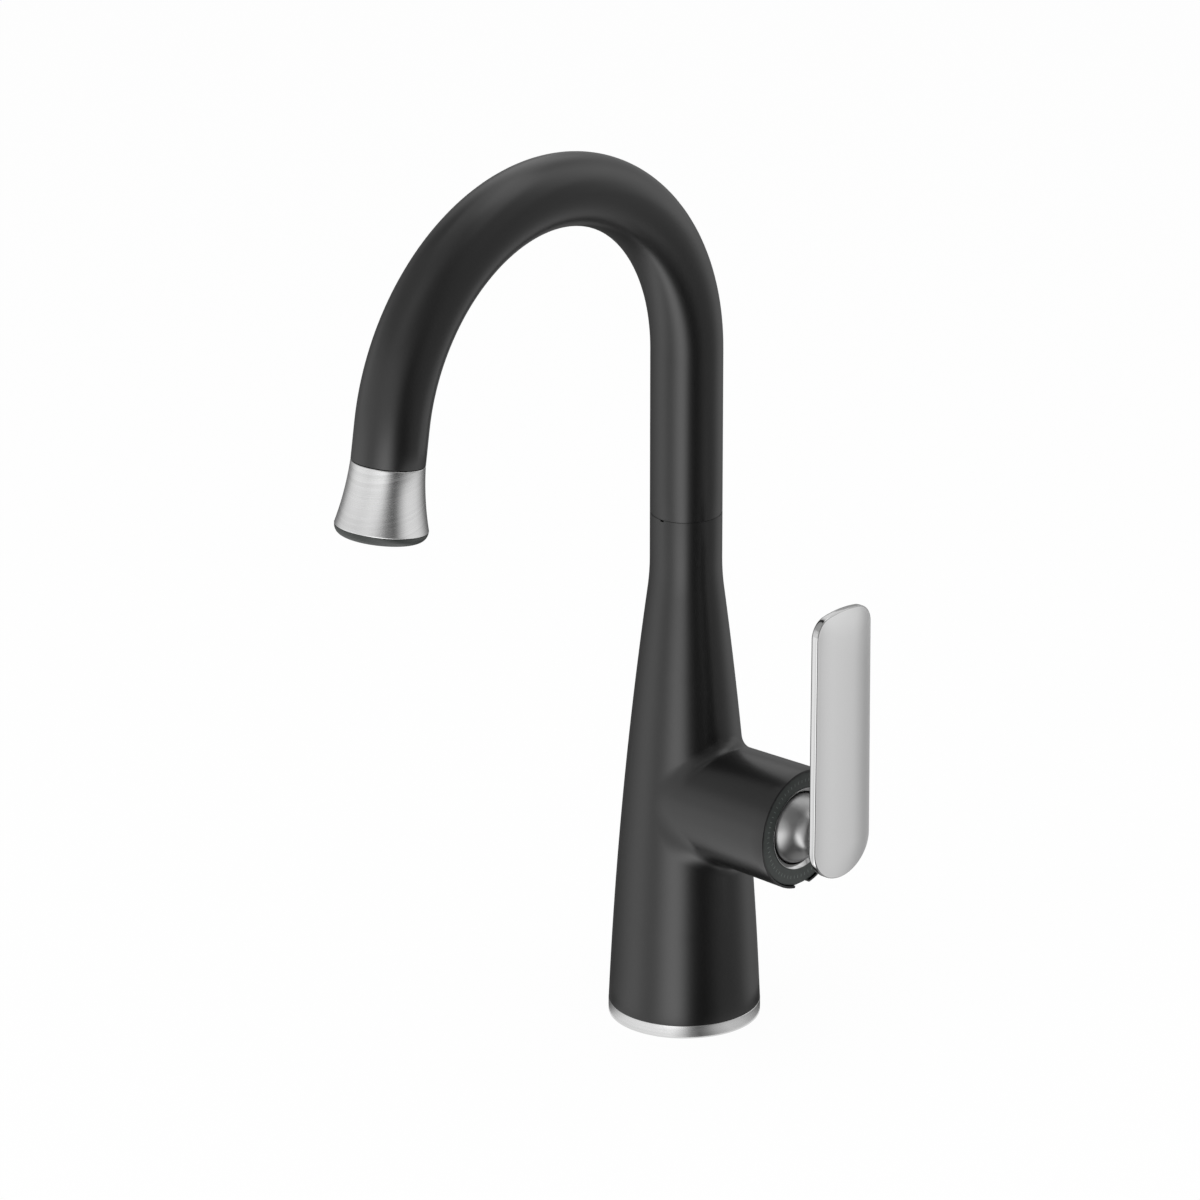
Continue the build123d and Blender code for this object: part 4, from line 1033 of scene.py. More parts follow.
class FAUCET_OT_base(bpy.types.Operator):
    """Build the steel base ring, and the shank, clamp and fittings under the deck"""

    bl_idname = "faucet.make_base"
    bl_label = "Base ring and clamp"

    def execute(self, context):
        body, deck = context.scene.faucet_body, context.scene.faucet_deck
        self.base_ring(body, deck)
        self.shank(body)
        for node, coat in (("rubber_washer", "rubber"), ("clamp_washer", "stainless")):
            self.washer(body, deck, node, coat)
        self.nut(body, deck)
        self.screws(deck)
        for node in ("hot_inlet_fitting", "cold_inlet_fitting", "outlet_fitting"):
            self.fitting(deck, node, deck.line_socket)
        self.fitting(deck, "hose_coupling", deck.hose_socket)
        return {"FINISHED"}

    def base_ring(self, body, deck):
        bore, bevel, high = body.shank_radius + deck.shank_gap, body.ring_bevel, body.base_height
        ease = 0.1 * MM
        corners = [
            (bore, 0, 0),
            (body.ring_radius, 0, ease),
            (body.ring_radius, high - bevel, ease),
            (body.ring_radius - bevel, high, ease),
            (bore, high, 0),
        ]
        turned_piece(
            "base_ring_steel", corners, "brushed_steel", "body", "base_ring", segments=LARGE_ROUND
        )

    def shank(self, body):
        low, high, thread_high = foot("mounting_shank").z, top("mounting_shank").z, -2 * MM
        shape = threaded_tube(body, low, high, thread_high)
        build("threaded_shank", [(*shape, 0)], ["brass"], "body", "brass", "mounting_shank")

    def washer(self, body, deck, node, coat):
        bore, ease = body.shank_radius + deck.shank_gap, 0.5 * MM
        corners = band(bore, top(node).x, foot(node).z, top(node).z, ease)
        turned_piece(node + "_eased", corners, coat, "body", node)

    def nut(self, body, deck):
        low, high = foot("mounting_nut").z, top("mounting_nut").z
        thread_gap, flare = 0.05 * MM, 0.8 * MM
        bore = body.shank_radius + thread_gap
        mouth = bore + flare
        outline = [(mouth, high), (bore, high - flare), (bore, low + flare), (mouth, low)]
        shape = hexagon_piece((0, 0), deck.nut_flats, low, high, outline)
        build("clamp_nut", [(*shape, 0)], ["brass"], "body", "brass", "mounting_nut")

    def screws(self, deck):
        head_foot, tip = foot("clamp_screws").z, top("clamp_screws").z
        seat = head_foot + deck.head_height
        shape = socket_screw(deck.screw_radius, deck.screw_head, deck.head_height, tip - seat)
        circles = [(deck.screws, deck.screw_circle)]
        place = Matrix.Translation((0, 0, seat))
        mesh = patterned("clamp_screw_set", [(*shape, 0)], circles, "stainless", place)
        settle(shown("clamp_screw_set", mesh), "body", "stainless", "clamp_screws")

    def fitting(self, deck, node, socket):
        low, high = foot(node).z, top(node).z
        centre = [(a + b) / 2 for a, b in zip(foot(node)[:2], top(node)[:2])]
        socket_floor, thread_top = high - deck.socket_depth, low + deck.tail_depth
        outline = [(socket, high), (socket, socket_floor), (deck.waterway, socket_floor)]
        outline.append((deck.waterway, thread_top))
        ridges, ridge_height = 10, 0.5 * MM
        for k, z in enumerate(spaced(thread_top, low, ridges)):
            on_ridge = k % 2 == 0 and k < ridges
            outline.append((deck.tail_radius - (ridge_height if on_ridge else 0), z))
        shape = hexagon_piece(centre, deck.fitting_flats, low, high, outline)
        build(node + "_hexagon", [(*shape, 0)], ["brass"], "body", "brass", node)


# Trim in the end of the boss


class FAUCET_OT_trim(bpy.types.Operator):
    """Build the dark trim ring with its plain ticks and the polished sleeve in it"""

    bl_idname = "faucet.make_trim"
    bl_label = "Trim ring and sleeve"

    def execute(self, context):
        body = context.scene.faucet_body
        place = hub_place(body)
        face = body.hub_reach - body.trim_recess
        pocket = face - body.trim_thickness
        ease = 0.3 * MM
        corners = [
            (body.trim_bore, pocket, 0),
            (body.trim_radius, pocket, 0),
            (body.trim_radius, face, ease),
            (body.trim_bore, face, ease),
        ]
        turned_piece("trim_ring_moulded", corners, "dark_trim", "body", "trim_ring", place, ROUND)
        self.ticks(body, place, face)
        self.sleeve(body, context.scene.faucet_lever, place, face)
        return {"FINISHED"}

    def ticks(self, body, place, face):
        long_half, wide_half, stand = 0.55 * MM, 0.14 * MM, 0.04 * MM
        bar = box_shape((-long_half, -wide_half, -stand), (long_half, wide_half, stand))
        circles = [(body.trim_ticks, (body.trim_bore + body.trim_radius) / 2)]
        on_face = place @ Matrix.Translation((0, 0, face))
        mesh = patterned("trim_ring_ticks", [(*bar, 0)], circles, "tick_print", on_face)
        ticks = shown("trim_ring_ticks", mesh)
        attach(ticks, "body")

    def sleeve(self, body, lever, place, face):
        stand, seat_gap, land, ball_gap = 0.15 * MM, 0.1 * MM, 0.15 * MM, 0.55 * MM
        throat_ahead, undercut = 5.5 * MM, 1.6 * MM
        ease, lip_ease, land_ease, throat_ease = 0.2 * MM, 0.05 * MM, 0.04 * MM, 0.06 * MM
        low, high = foot("trim_sleeve").x, face + stand
        shoulder = face - body.trim_thickness - seat_gap
        throat = sqrt((lever.dome_radius + ball_gap) ** 2 - throat_ahead**2)
        throat_reach = lever.pivot_reach + throat_ahead
        corners = [
            (body.sleeve_bore, low, ease),
            (body.sleeve_flange, low, ease),
            (body.sleeve_flange, shoulder, ease),
            (body.sleeve_lip, shoulder, 0),
            (body.sleeve_lip, high, lip_ease),
            (body.sleeve_lip - land, high, land_ease),
            (throat, throat_reach, throat_ease),
            (body.sleeve_bore, throat_reach - undercut, 0),
        ]
        turned_piece(
            "sleeve_polished", corners, "polished_chrome", "body", "trim_sleeve", place, ROUND
        )


# Lever


def blade_outline(lever):
    """Outline of the blade about the hub axis as (y, z), from +Y round by its arched tip."""
    side_steps, corner_steps, tip_steps, bottom_steps, tries = 24, 18, 12, 40, 8
    half, tip, rise, corner = lever.blade_half, lever.tip_half, lever.blade_rise, lever.corner
    shoulder = rise - lever.tip_rise
    arch = (tip**2 + lever.tip_rise**2) / (2 * lever.tip_rise)
    lean = atan2(half - tip, shoulder)
    middle_z = shoulder - corner
    for _ in range(tries):
        middle_y = half - middle_z * tan(lean) - corner / cos(lean)
        middle_z = rise - arch + sqrt((arch - corner) ** 2 - middle_y**2)
    start = (middle_y + corner * cos(lean), middle_z + corner * sin(lean))
    reach = arch / (arch - corner)
    meet = (middle_y * reach, rise - arch + (middle_z - rise + arch) * reach)
    right = list(zip(spaced(half, start[0], side_steps), spaced(0, start[1], side_steps)))[:-1]
    right += swing((middle_y, middle_z), start, meet, corner_steps)
    right += swing((0, rise - arch), meet, (0, rise), tip_steps)[1:-1]
    left = [(-y, z) for y, z in reversed(right)]
    turns = spaced(0, pi, bottom_steps)[1:-1]
    bottom = [(-half * cos(t), -lever.blade_drop * sin(t)) for t in turns]
    return right + [(0, rise)] + left + bottom


def blade_shapes(lever, hub_height, back):
    """The blade: polished edge strip, then its face with rounded margins and its flat back."""
    outline = [Vector(p) for p in blade_outline(lever)]
    size = len(outline)
    inward = []
    for i in range(size):
        way = outline[(i + 1) % size] - outline[i - 1]
        inward.append(Vector((-way.y, way.x)).normalized())
    face = back + lever.blade_edge + lever.blade_crown
    spine_top = lever.blade_rise - lever.tip_half
    near, far = lever.front_ease, lever.back_ease

    def front(distance):
        return face - lever.blade_crown * max(0.0, 1 - distance / lever.crown_run) ** 2

    def ring(inset, reach):
        points = [p + n * inset for p, n in zip(outline, inward)]
        return [Vector((reach, p.x, hub_height + p.y)) for p in points]

    def towards_spine(share, inset, reach_at):
        points = []
        for p, n in zip(outline, inward):
            rim = p + n * inset
            spine = Vector((0, min(max(p.y, 0.0), spine_top)))
            spot = rim.lerp(spine, share)
            reach = reach_at(inset + (spot - rim).length)
            points.append(Vector((reach, spot.x, hub_height + spot.y)))
        return points

    edge_steps, face_steps = 6, 16
    turns, shares = spaced(0, pi / 2, edge_steps), spaced(0, 1, face_steps)
    edge = [ring(far * (1 - sin(t)), back + far * (1 - cos(t))) for t in turns]
    edge += [ring(near * (1 - cos(t)), front(near) - near * (1 - sin(t))) for t in turns]
    front_rings = [towards_spine(s, near, front) for s in shares]
    back_rings = [towards_spine(s, far, lambda distance: back) for s in shares]
    return [
        (*loft(edge, closed=False), 1),
        (*loft(front_rings, closed=False), 0),
        (*loft(back_rings, closed=False), 0),
    ]


def dome_and_neck(lever, place):
    """The buffed ball dome, its neck and the flare that runs into the blade's back."""
    dome_steps, neck_steps, flare_steps, hollow_steps = 24, 12, 16, 16
    into_blade = 0.8 * MM
    pivot, dome, lean = lever.pivot_reach, lever.dome_radius, lever.dome_angle
    bore = dome - lever.dome_wall
    end = (dome * sin(lean), pivot + dome * cos(lean))
    neck = (lever.neck_radius, end[1] + lever.neck_run)
    spread = lever.flare_radius - lever.neck_radius
    outside = swing((0, pivot), (dome, pivot), end, dome_steps)
    outside += tangent_swing(end, (-cos(lean), sin(lean)), neck, neck_steps)[1:]
    for t in spaced(0, pi / 2, flare_steps)[1:]:
        outside.append((neck[0] + spread * (1 - cos(t)), neck[1] + lever.flare_run * sin(t)))
    back = outside[-1][1]
    boss_rear = pivot + lever.boss_reach
    hollow_front = pivot + sqrt(bore**2 - lever.boss_radius**2)
    inside = [
        (lever.flare_radius, back + into_blade),
        (0, back + into_blade),
        (0, boss_rear),
        (lever.boss_radius, boss_rear),
        *swing((0, pivot), (lever.boss_radius, hollow_front), (bore, pivot), hollow_steps),
    ]
    return turned(outside + inside, place, ROUND), back


class FAUCET_OT_lever(bpy.types.Operator):
    """Build the lever: buffed dome and neck, satin blade with polished edges"""

    bl_idname = "faucet.make_lever"
    bl_label = "Lever"

    def execute(self, context):
        lever, body = context.scene.faucet_lever, context.scene.faucet_body
        dome, back = dome_and_neck(lever, hub_place(body))
        shapes = [(*dome, 2), *blade_shapes(lever, body.hub_height, back)]
        coats = ["satin_chrome", "polished_chrome", "buffed_chrome_painted_shade"]
        build("lever_cast", shapes, coats, "lever", "satin_chrome", "lever_handle")
        return {"FINISHED"}


# Spray head


class FAUCET_OT_head(bpy.types.Operator):
    """Build the spray head: bell, nozzle ring, plate, nozzles, hose and their fittings"""

    bl_idname = "faucet.make_head"
    bl_label = "Spray head"

    def execute(self, context):
        spout = context.scene.faucet_spout
        place = head_place(spout)
        bell_top = spout.straight_end + spout.dock_gap
        rim = bell_top + spout.bell_length
        self.bell(spout, place, bell_top, rim)
        self.nozzle_ring(spout, place, rim)
        face = self.plate(spout, place, rim)
        self.nozzles(spout, place, face)
        self.hose(spout)
        self.fittings(place)
        return {"FINISHED"}

    def bell(self, spout, place, bell_top, rim):
        side_steps, top_ease, rim_ease, bore_ease = 32, 0.6 * MM, 0.3 * MM, 0.2 * MM
        middle = (bell_top + rim) / 2
        sides = []
        for inset in (0, spout.bell_wall):
            ends = (
                (spout.tube_radius - inset, bell_top),
                (spout.bell_waist - inset, middle),
                (spout.bell_rim - inset, rim),
            )
            *centre, _ = circle_through(*ends)
            sides.append(swing(centre, ends[0], ends[2], side_steps))
        flange = bell_top + spout.bell_wall
        inner = [spot for spot in sides[1] if spot[1] > flange]
        corners = [
            (spout.bell_bore, bell_top, 0),
            (spout.tube_radius, bell_top, top_ease),
            *plain(sides[0][1:-1]),
            (spout.bell_rim, rim, rim_ease),
            (spout.bell_rim - spout.bell_wall, rim, bore_ease),
            *plain(reversed(inner[:-1])),
            (inner[0][0], flange, 0),
            (spout.bell_bore, flange, 0),
        ]
        turned_piece(
            "bell_brushed", corners, "brushed_bell", "spray_head", "spray_bell", place,
            LARGE_ROUND, slot="brushed_steel",
        )

    def nozzle_ring(self, spout, place, rim):
        seat_gap, spigot_gap, spigot_length, taper = 0.05 * MM, 0.3 * MM, 1.8 * MM, 0.45 * MM
        curve_steps, foot_ease, set_back = 20, 0.4 * MM, spout.bell_wall / 8
        high = rim + seat_gap
        tip = high + spout.ring_height
        spigot = spout.bell_rim - spout.bell_wall - spigot_gap
        shoulder = (spout.bell_rim - set_back, high)
        corners = [
            (spout.ring_bore, high - spigot_length, 0),
            (spigot - taper, high - spigot_length, 0),
            (spigot, high, 0),
            *plain(tangent_swing(shoulder, (0, 1), (spout.ring_tip, tip), curve_steps)),
            (spout.ring_bore, tip, foot_ease),
        ]
        turned_piece(
            "nozzle_ring_moulded", corners, "dark_nozzle", "spray_head", "nozzle_ring", place,
            LARGE_ROUND, slot="dark_trim",
        )

    def plate(self, spout, place, rim):
        behind_rim, past_rim, crown, crown_steps = 1.85 * MM, 2.15 * MM, 0.35 * MM, 8
        edge_ease, land_ease, land_share, crown_share = 0.25 * MM, 0.1 * MM, 0.95, 0.92
        low, high, radius = rim - behind_rim, rim + past_rim, spout.plate_radius
        shares = spaced(1, 0, crown_steps)
        corners = [
            (0, low, 0),
            (radius, low, 0),
            (radius, high, edge_ease),
            (radius * land_share, high, land_ease),
            *plain([(radius * crown_share * s, high - crown * s**2) for s in shares]),
        ]
        turned_piece(
            "spray_plate_domed", corners, "dark_nozzle", "spray_head", "spray_plate", place,
            ROUND, slot="dark_trim",
        )
        return high

    def nozzles(self, spout, place, face):
        nub, stand, sunk, dimple = spout.nozzle_radius, 0.8 * MM, 1.2 * MM, 0.5 * MM
        tip_share, mouth_share, dimple_share = 0.82, 0.5, 0.42
        tip_ease, mouth_ease, ease_steps, segments = 0.12 * MM, 0.06 * MM, 3, 20
        corners = [
            (0, -sunk, 0),
            (nub, -sunk, 0),
            (nub, 0, 0),
            (nub * tip_share, stand, tip_ease),
            (nub * mouth_share, stand, mouth_ease),
            (nub * dimple_share, stand - dimple, 0),
            (0, stand - dimple, 0),
        ]
        nozzle = turned(eased(corners, ease_steps), segments=segments)
        inner = (spout.inner_nozzles, spout.inner_circle)
        outer = (spout.outer_nozzles, spout.outer_circle)
        on_face = place @ Matrix.Translation((0, 0, face))
        mesh = patterned(
            "spray_nozzle_set", [(*nozzle, 0)], [inner, outer], "grey_rubber", on_face
        )
        settle(shown("spray_nozzle_set", mesh), "spray_head", "grey_rubber", "spray_nozzles")

    def hose(self, spout):
        segments, bend_steps, end_steps, across = 48, 24, 20, (1, 0, 0)
        first = spout.arch_angle - spout.hose_tail_angle
        way = arch_way(spout.arch_angle)
        end = arch_point(spout, spout.arch_angle)
        turns = spaced(first, spout.arch_angle, bend_steps)[:-1]
        places = [placed(arch_point(spout, turn), across, arch_way(turn)) for turn in turns]
        places += [placed(end + way * s, across, way) for s in spaced(0, spout.hose_end, end_steps)]
        rings = [round_ring(p, spout.hose_radius, 0, segments) for p in places]
        rings += [round_ring(p, spout.hose_bore, 0, segments) for p in reversed(places)]
        mesh = shaped("hose_woven", [(*loft(rings), 0)])
        mesh.materials.append(finishes["hose_sleeve"])
        piece = shown("hose_woven", mesh)
        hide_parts("hose_tail")
        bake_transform(piece)

    def fittings(self, place):
        # Inner and outer radius, and start and end along the head's axis, in millimetres
        ease = 0.25 * MM
        for node, coat, body, *sizes in (
            ("dock_collar", "white_plastic", "spout", 8.8, 11.15, 0.6, 12.3),
            ("hose_ferrule", "stainless", "spray_head", 4.65, 5.75, 0.0, 5.0),
            ("hose_connector", "brass", "spray_head", 3.0, 6.0, 5.0, 12.0),
        ):
            corners = band(*[size * MM for size in sizes], ease)
            turned_piece(node + "_eased", corners, coat, body, node, place)


# Pieces inside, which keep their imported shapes


HIDDEN_PIECES = {
    "satin_black": ("thrust_washer",),
    "rubber": ("base_gasket", "port_seals", "connector_seal", "spigot_o_rings"),
    "brass": ("valve_block", "retaining_nut", "spout_spigot"),
    "copper": ("hot_line_tube", "cold_line_tube", "outlet_line_tube"),
    "stainless": ("retaining_clip", "lever_stem", "pivot_pin", "set_screw"),
    "white_plastic": (
        "cartridge_base", "cartridge_housing", "cartridge_rotor", "disc_driver", "upper_bush",
        "lower_bush", "spray_core", "check_valve",
    ),
    "ceramic": ("fixed_disc", "moving_disc"),
    "hose_sleeve": ("lower_hose", "spray_hose"),
    "polished_chrome": ("screw_cap",),
}


class FAUCET_OT_inside(bpy.types.Operator):
    """Give each inner piece its finish"""

    bl_idname = "faucet.finish_inside"
    bl_label = "Inner pieces"

    def execute(self, context):
        for coat, nodes in HIDDEN_PIECES.items():
            for node in nodes:
                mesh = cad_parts[node].data
                mesh.materials.clear()
                mesh.materials.append(finishes[coat])
        return {"FINISHED"}


# Studio


# Strength of each reflector card by its turn from the camera in degrees
CARD_LEVELS = {
    "foot_cloth": (
        (-179, 0.1), (-94, 0.15), (-84, 0.35), (-74, 0.7), (-62, 0.95), (-40, 1.05), (-11, 1.12),
        (-3, 0.8), (5, 0.3), (12, 0.15), (20, 0.3), (28, 0.55), (40, 0.74), (55, 0.68), (68, 0.5),
        (84, 0.25), (95, 0.1),
    ),
    "floor_cloth": (
        (-179, 0.1), (-150, 0.16), (-128, 0.4), (-110, 0.78), (-95, 1.18), (-80, 1.35),
        (-57, 0.95), (-46, 1.15), (-36, 1.8), (-25, 2.5), (-12, 2.65), (-3, 1.8), (5, 0.65),
        (12, 0.15), (24, 0.03), (34, 0.06), (45, 0.22), (55, 0.38), (67, 0.42), (82, 0.4),
        (97, 0.44), (112, 0.64), (128, 0.64), (157, 0.25),
    ),
    "low_wall_cloth": (
        (-179, 0.4), (-165, 0.25), (-144, 0.2), (-128, 0.5), (-112, 0.86), (-92, 1.0),
        (-74, 1.04), (-50, 0.95), (-30, 1.04), (-12, 1.04), (-4, 0.8), (4, 0.4), (13, 0.12),
        (22, 0.08), (34, 0.25), (47, 0.41), (70, 0.42), (94, 0.44), (105, 0.8), (115, 1.0),
        (129, 0.8), (145, 0.5), (160, 0.4),
    ),
    "high_wall_cloth": (
        (-179, 0.85), (-165, 0.72), (-147, 0.3), (-128, 0.42), (-108, 0.54), (-90, 0.75),
        (-83, 0.9), (-60, 0.93), (-32, 1.1), (-14, 0.95), (-4, 0.6), (8, 0.25), (18, 0.2),
        (30, 0.22), (47, 0.41), (70, 0.42), (94, 0.44), (105, 0.91), (115, 1.1), (129, 0.95),
        (145, 0.55), (160, 0.5),
    ),
    "canopy_cloth": (
        (-179, 1.05), (-167, 1.05), (-151, 0.6), (-135, 0.22), (-116, 0.45), (-95, 0.5),
        (-65, 0.6), (-45, 0.8), (-30, 0.7), (-12, 0.42), (3, 0.27), (27, 0.25), (42, 0.38),
        (62, 0.46), (84, 0.58), (104, 1.15), (123, 1.25), (140, 0.8), (154, 0.6), (170, 1.0),
    ),
    "crown_cloth": (
        (-179, 1.3), (-142, 0.9), (-85, 0.58), (-24, 0.52), (21, 0.33), (58, 0.78), (79, 1.15),
        (100, 1.6), (143, 1.6),
    ),
    "bell_card": (
        (24, 0.08), (31, 0.18), (37, 0.45), (45, 0.76), (55, 0.98), (68, 0.98), (82, 0.92),
        (95, 0.7), (110, 0.35), (125, 0.15), (140, 0.08),
    ),
}
# Profile of the cloths from the foot of the body out, up and over, as radius and height in metres,
# with the cloth that runs from there to the next spot
TENT = (
    (0.0274, 0.0003, "foot_cloth"),
    (0.041, 0.0003, "floor_cloth"),
    (1.6, 0.0003, "floor_cloth"),
    (1.6, 0.09, "low_wall_cloth"),
    (1.6, 0.6, "high_wall_cloth"),
    (1.6, 0.95, "canopy_cloth"),
    (0.95, 1.75, "crown_cloth"),
    (0.001, 2.1, None),
)
# Strength of the card before the blade by its place along the hub's axis and by height, in metres
ALONG_HUB = (
    (0.076, 0.3), (0.082, 0.5), (0.09, 0.68), (0.098, 0.74), (0.115, 0.78), (0.14, 0.76),
    (0.2, 0.62),
)
UP_BLADE = ((0.05, 0.97), (0.145, 1.0), (0.168, 1.2))


def graded(tree, value, stops):
    """A value read through a ramp of (position, level) stops."""
    ramp = add(tree, "ShaderNodeValToRGB", {"Fac": value})
    elements = ramp.color_ramp.elements
    for position, _ in stops[1:-1]:
        elements.new(position)
    for element, (position, strength) in zip(elements, stops):
        element.position = position
        element.color = [strength] * 3 + [1]
    return ramp


def glow_material(name, view, centre, near_turn):
    """A card graded by its turn from the camera about a centre, and seen from its front only."""
    material = blank_material(name)
    tree = material.node_tree
    place = add(tree, "ShaderNodeTexCoord").outputs["Object"]
    mapping = {"Vector": place, "Location": centre, "Rotation": (0, 0, view)}
    facing = add(tree, "ShaderNodeMapping", mapping, vector_type="TEXTURE")
    sweep = add(tree, "ShaderNodeTexGradient", {"Vector": facing}, gradient_type="RADIAL")
    reach = add(tree, "ShaderNodeVectorMath", {0: place}, operation="LENGTH").outputs["Value"]
    turn = add(tree, "ShaderNodeMath", {0: sweep.outputs["Fac"], 1: 0.5}, operation="SUBTRACT")
    # A spot near the foot is mirrored off the axis, so there its turn counts for more
    more = add(tree, "ShaderNodeMath", {0: near_turn, 1: reach}, operation="DIVIDE")
    whole = add(tree, "ShaderNodeMath", {0: turn, 1: more, 2: turn}, operation="MULTIPLY_ADD")
    spot = add(tree, "ShaderNodeMath", {0: whole, 1: 0.5}, operation="ADD")
    stops = [(0.5 + degrees / 360, strength) for degrees, strength in CARD_LEVELS[name]]
    glow = add(tree, "ShaderNodeEmission", {"Color": graded(tree, spot, stops)})
    rear = add(tree, "ShaderNodeNewGeometry").outputs["Backfacing"]
    clear = add(tree, "ShaderNodeBsdfTransparent")
    front_only = add(tree, "ShaderNodeMixShader", {0: rear, 1: glow, 2: clear})
    add(tree, "ShaderNodeOutputMaterial", {"Surface": front_only})
    return material


def blade_card_material():
    """A card graded along the hub's axis and by height."""
    material = blank_material("blade_card")
    tree = material.node_tree
    place = add(tree, "ShaderNodeTexCoord").outputs["Object"]
    spot = add(tree, "ShaderNodeSeparateXYZ", {0: place}).outputs
    grades = {0: 1.0, 6: graded(tree, spot["X"], ALONG_HUB), 7: graded(tree, spot["Z"], UP_BLADE)}
    level_here = add(tree, "ShaderNodeMix", grades, data_type="RGBA", blend_type="MULTIPLY")
    glow = add(tree, "ShaderNodeEmission", {"Color": level_here.outputs[2]})
    add(tree, "ShaderNodeOutputMaterial", {"Surface": glow})
    return material


def seen_by_eye_or_mirror(tree):
    """A node that gives 1 on camera, glossy and transmission rays and 0 on matt ones."""
    path = add(tree, "ShaderNodeLightPath").outputs
    rays = path["Is Camera Ray"]
    for kind in ("Is Glossy Ray", "Is Transmission Ray"):
        rays = add(tree, "ShaderNodeMath", {0: rays, 1: path[kind]}, operation="MAXIMUM")
    return rays


def seen_from(turn, rise):
    """Unit vector from the object to a spot round it, turned from -Y towards +X."""
    return Vector((sin(turn) * cos(rise), -cos(turn) * cos(rise), sin(rise)))


class FAUCET_OT_stage(bpy.types.Operator):
    """Set the floor, the white room, its reflector cards, the softboxes and the camera"""

    bl_idname = "faucet.make_stage"
    bl_label = "Studio"

    def execute(self, context):
        stage = context.scene.faucet_stage
        context.scene.view_settings.view_transform = "Standard"
        self.floor()
        self.room(context.scene, stage)
        self.surround(stage)
        self.softbox(
            "key_softbox", stage, stage.key, round_view=-40, above=38, distance=1.6, size=(0.8, 1.2)
        )
        self.softbox(
            "overhead_softbox", stage, stage.overhead, round_view=20, above=80, distance=1.4,
            size=(1.2, 1.2),
        )
        self.camera(context.scene, stage)
        return {"FINISHED"}

    def floor(self):
        # Pale matt floor: near white to the eye, and it still takes the object's shadow
        reach, below, segments, glow_share = 6.0, 0.05 * MM, 64, 0.96
        disc = round_ring(Matrix(), reach, -below, segments)
        mesh = shaped("studio_floor", [(disc, [range(segments)], 0)])
        material = blank_material("floor_pale_matt")
        tree = material.node_tree
        paint = add(tree, "ShaderNodeBsdfDiffuse", {"Color": linear("#f4f4f4")})
        glow = add(tree, "ShaderNodeEmission", {"Strength": 1.0})
        eye = seen_by_eye_or_mirror(tree)
        share = add(tree, "ShaderNodeMath", {0: eye, 1: glow_share}, operation="MULTIPLY")
        mixed = add(tree, "ShaderNodeMixShader", {0: share, 1: paint, 2: glow})
        add(tree, "ShaderNodeOutputMaterial", {"Surface": mixed})
        mesh.materials.append(material)
        shown("studio_floor", mesh)

    def room(self, scene, stage):
        scene.world = bpy.data.worlds.new("white_room")
        scene.world.use_nodes = True
        tree = scene.world.node_tree
        tree.nodes.clear()
        limits = {"Value": seen_by_eye_or_mirror(tree), "To Min": stage.ambient, "To Max": 1.0}
        strength = add(tree, "ShaderNodeMapRange", limits)
        white = {"Color": (1, 1, 1, 1), "Strength": strength}
        add(tree, "ShaderNodeOutputWorld", {"Surface": add(tree, "ShaderNodeBackground", white)})

    def surround(self, stage):
        # Reflector cards round the object, seen only in reflections: upright walls see the floor
        # cloth, the bell sees the low wall, and the arch sees the high wall and the canopy
        segments, body_stand = 96, 16.5 * MM
        view = stage.azimuth - pi / 2
        bell = (foot("spray_bell") + top("spray_bell")) / 2
        numbers = {name: number for number, name in enumerate(CARD_LEVELS)}
        shapes = []
        for (*start, cloth), (*end, _) in zip(TENT, TENT[1:]):
            rings = [round_ring(Matrix(), *spot, segments) for spot in (start, end)]
            shapes.append((*loft(rings, closed=False), numbers[cloth]))
        shapes.append((*self.bell_card(view, bell), numbers["bell_card"]))
        shapes.append((*self.blade_card(), len(numbers)))
        mesh = shaped("reflector_cards", shapes)
        mesh.flip_normals()
        for name in CARD_LEVELS:
            centre = bell if name == "bell_card" else (0, 0, 0)
            near_turn = body_stand if name == "floor_cloth" else 0.0
            mesh.materials.append(glow_material(name, view, centre, near_turn))
        mesh.materials.append(blade_card_material())
        cards = shown("reflector_cards", mesh)
        for rays in ("camera", "diffuse", "shadow", "transmission"):
            setattr(cards, "visible_" + rays, False)

    def bell_card(self, view, bell):
        # A small bent card close to the right of the bell, which the spout does not see
        reach, low, high = 34 * MM, 205 * MM, 242.5 * MM
        first, last, steps = radians(24), radians(141), 39
        place = Matrix.Translation((bell.x, bell.y, 0))
        turns = spaced(view + first, view + last, steps)
        arcs = [[place @ round_point(reach, turn, z) for turn in turns] for z in (low, high)]
        points, faces = loft(arcs, closed=False)
        return points, [face for face in faces if abs(face[0] - face[1]) == 1]

    def blade_card(self):
        # A flat card before the blade, edge on to the body so that only the blade sees it
        near, far, low, high, slant = 75.5 * MM, 200 * MM, 20 * MM, 185 * MM, 0.258
        spots = [(near, low), (far, low), (far, high), (near, high)]
        return [Vector((x, slant * x, z)) for x, z in spots], [(0, 1, 2, 3)]

    def softbox(self, name, stage, power, round_view, above, distance, size):
        light = bpy.data.lights.new(name, "AREA")
        light.shape = "RECTANGLE"
        light.size, light.size_y = size
        light.energy = power
        lamp = linked(name, light)
        back = seen_from(stage.azimuth + radians(round_view), radians(above))
        lamp.location = Vector((0, 0, stage.aim_height)) + back * distance
        lamp.rotation_euler = back.to_track_quat("Z", "Y").to_euler()
        lamp.visible_glossy = False

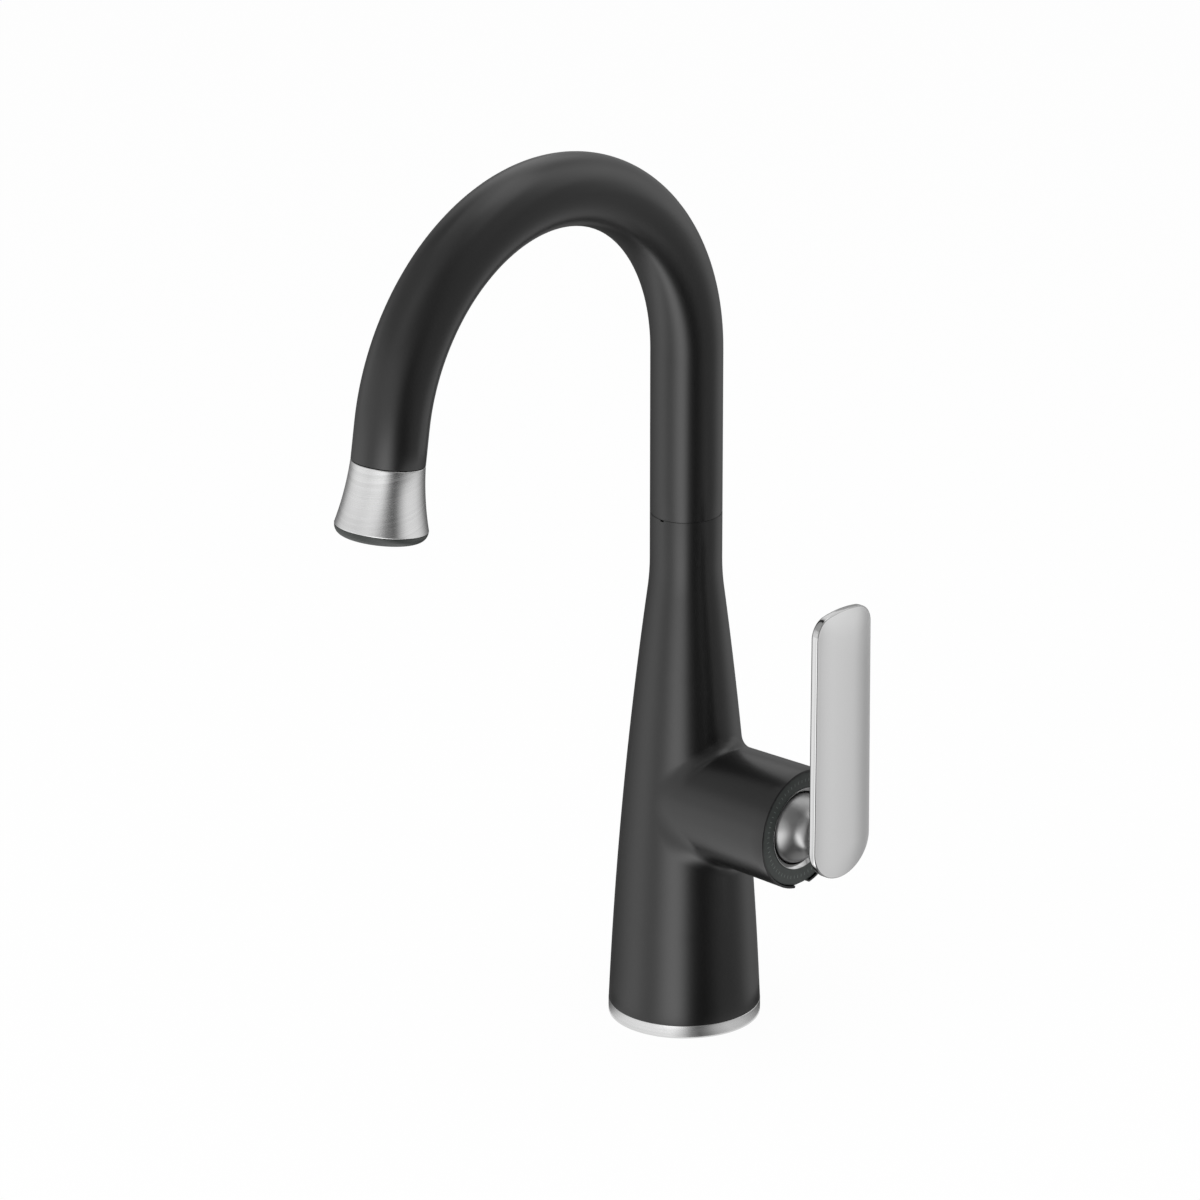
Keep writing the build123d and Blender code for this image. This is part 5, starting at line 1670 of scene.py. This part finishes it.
    def camera(self, scene, stage):
        view = linked("camera", bpy.data.cameras.new("camera"))
        right = Vector((cos(stage.azimuth), sin(stage.azimuth), 0))
        back = seen_from(stage.azimuth, stage.elevation)
        aim = right * stage.aim_right + Vector((0, 0, stage.aim_height))
        view.location = aim + back * stage.distance
        view.rotation_euler = back.to_track_quat("Z", "Y").to_euler()
        view.data.sensor_width = 36.0
        view.data.lens = stage.lens
        view.data.clip_end = 50.0
        scene.camera = view


class FAUCET_PT_panel(bpy.types.Panel):
    """Lists the faucet's operators"""

    bl_idname = "FAUCET_PT_panel"
    bl_label = "Bar Faucet"
    bl_space_type = "VIEW_3D"
    bl_region_type = "UI"
    bl_category = "Faucet"

    def draw(self, context):
        for operator in OPERATORS:
            self.layout.operator(operator.bl_idname)


OPERATORS = (
    FAUCET_OT_body,
    FAUCET_OT_base,
    FAUCET_OT_trim,
    FAUCET_OT_spout,
    FAUCET_OT_head,
    FAUCET_OT_lever,
    FAUCET_OT_inside,
    FAUCET_OT_stage,
)
GROUPS = {
    "faucet_spout": SpoutSizes,
    "faucet_body": BodySizes,
    "faucet_deck": DeckSizes,
    "faucet_lever": LeverSizes,
    "faucet_colours": FaucetColours,
    "faucet_stage": StageSettings,
}


def register():
    for group in GROUPS.values():
        bpy.utils.register_class(group)
    for name, group in GROUPS.items():
        setattr(bpy.types.Scene, name, PointerProperty(type=group))
    for cls in (*OPERATORS, FAUCET_PT_panel):
        bpy.utils.register_class(cls)


def unregister():
    for cls in (FAUCET_PT_panel, *reversed(OPERATORS)):
        bpy.utils.unregister_class(cls)
    for name in GROUPS:
        delattr(bpy.types.Scene, name)
    for group in reversed(GROUPS.values()):
        bpy.utils.unregister_class(group)


def main():
    register()
    scene = bpy.context.scene
    head_turn = pi - scene.faucet_spout.arch_angle
    finishes.update(make_finishes(scene.faucet_colours, head_turn))
    for operator in OPERATORS:
        group, name = operator.bl_idname.split(".")
        getattr(getattr(bpy.ops, group), name)()


if __name__ == "__main__":
    main()
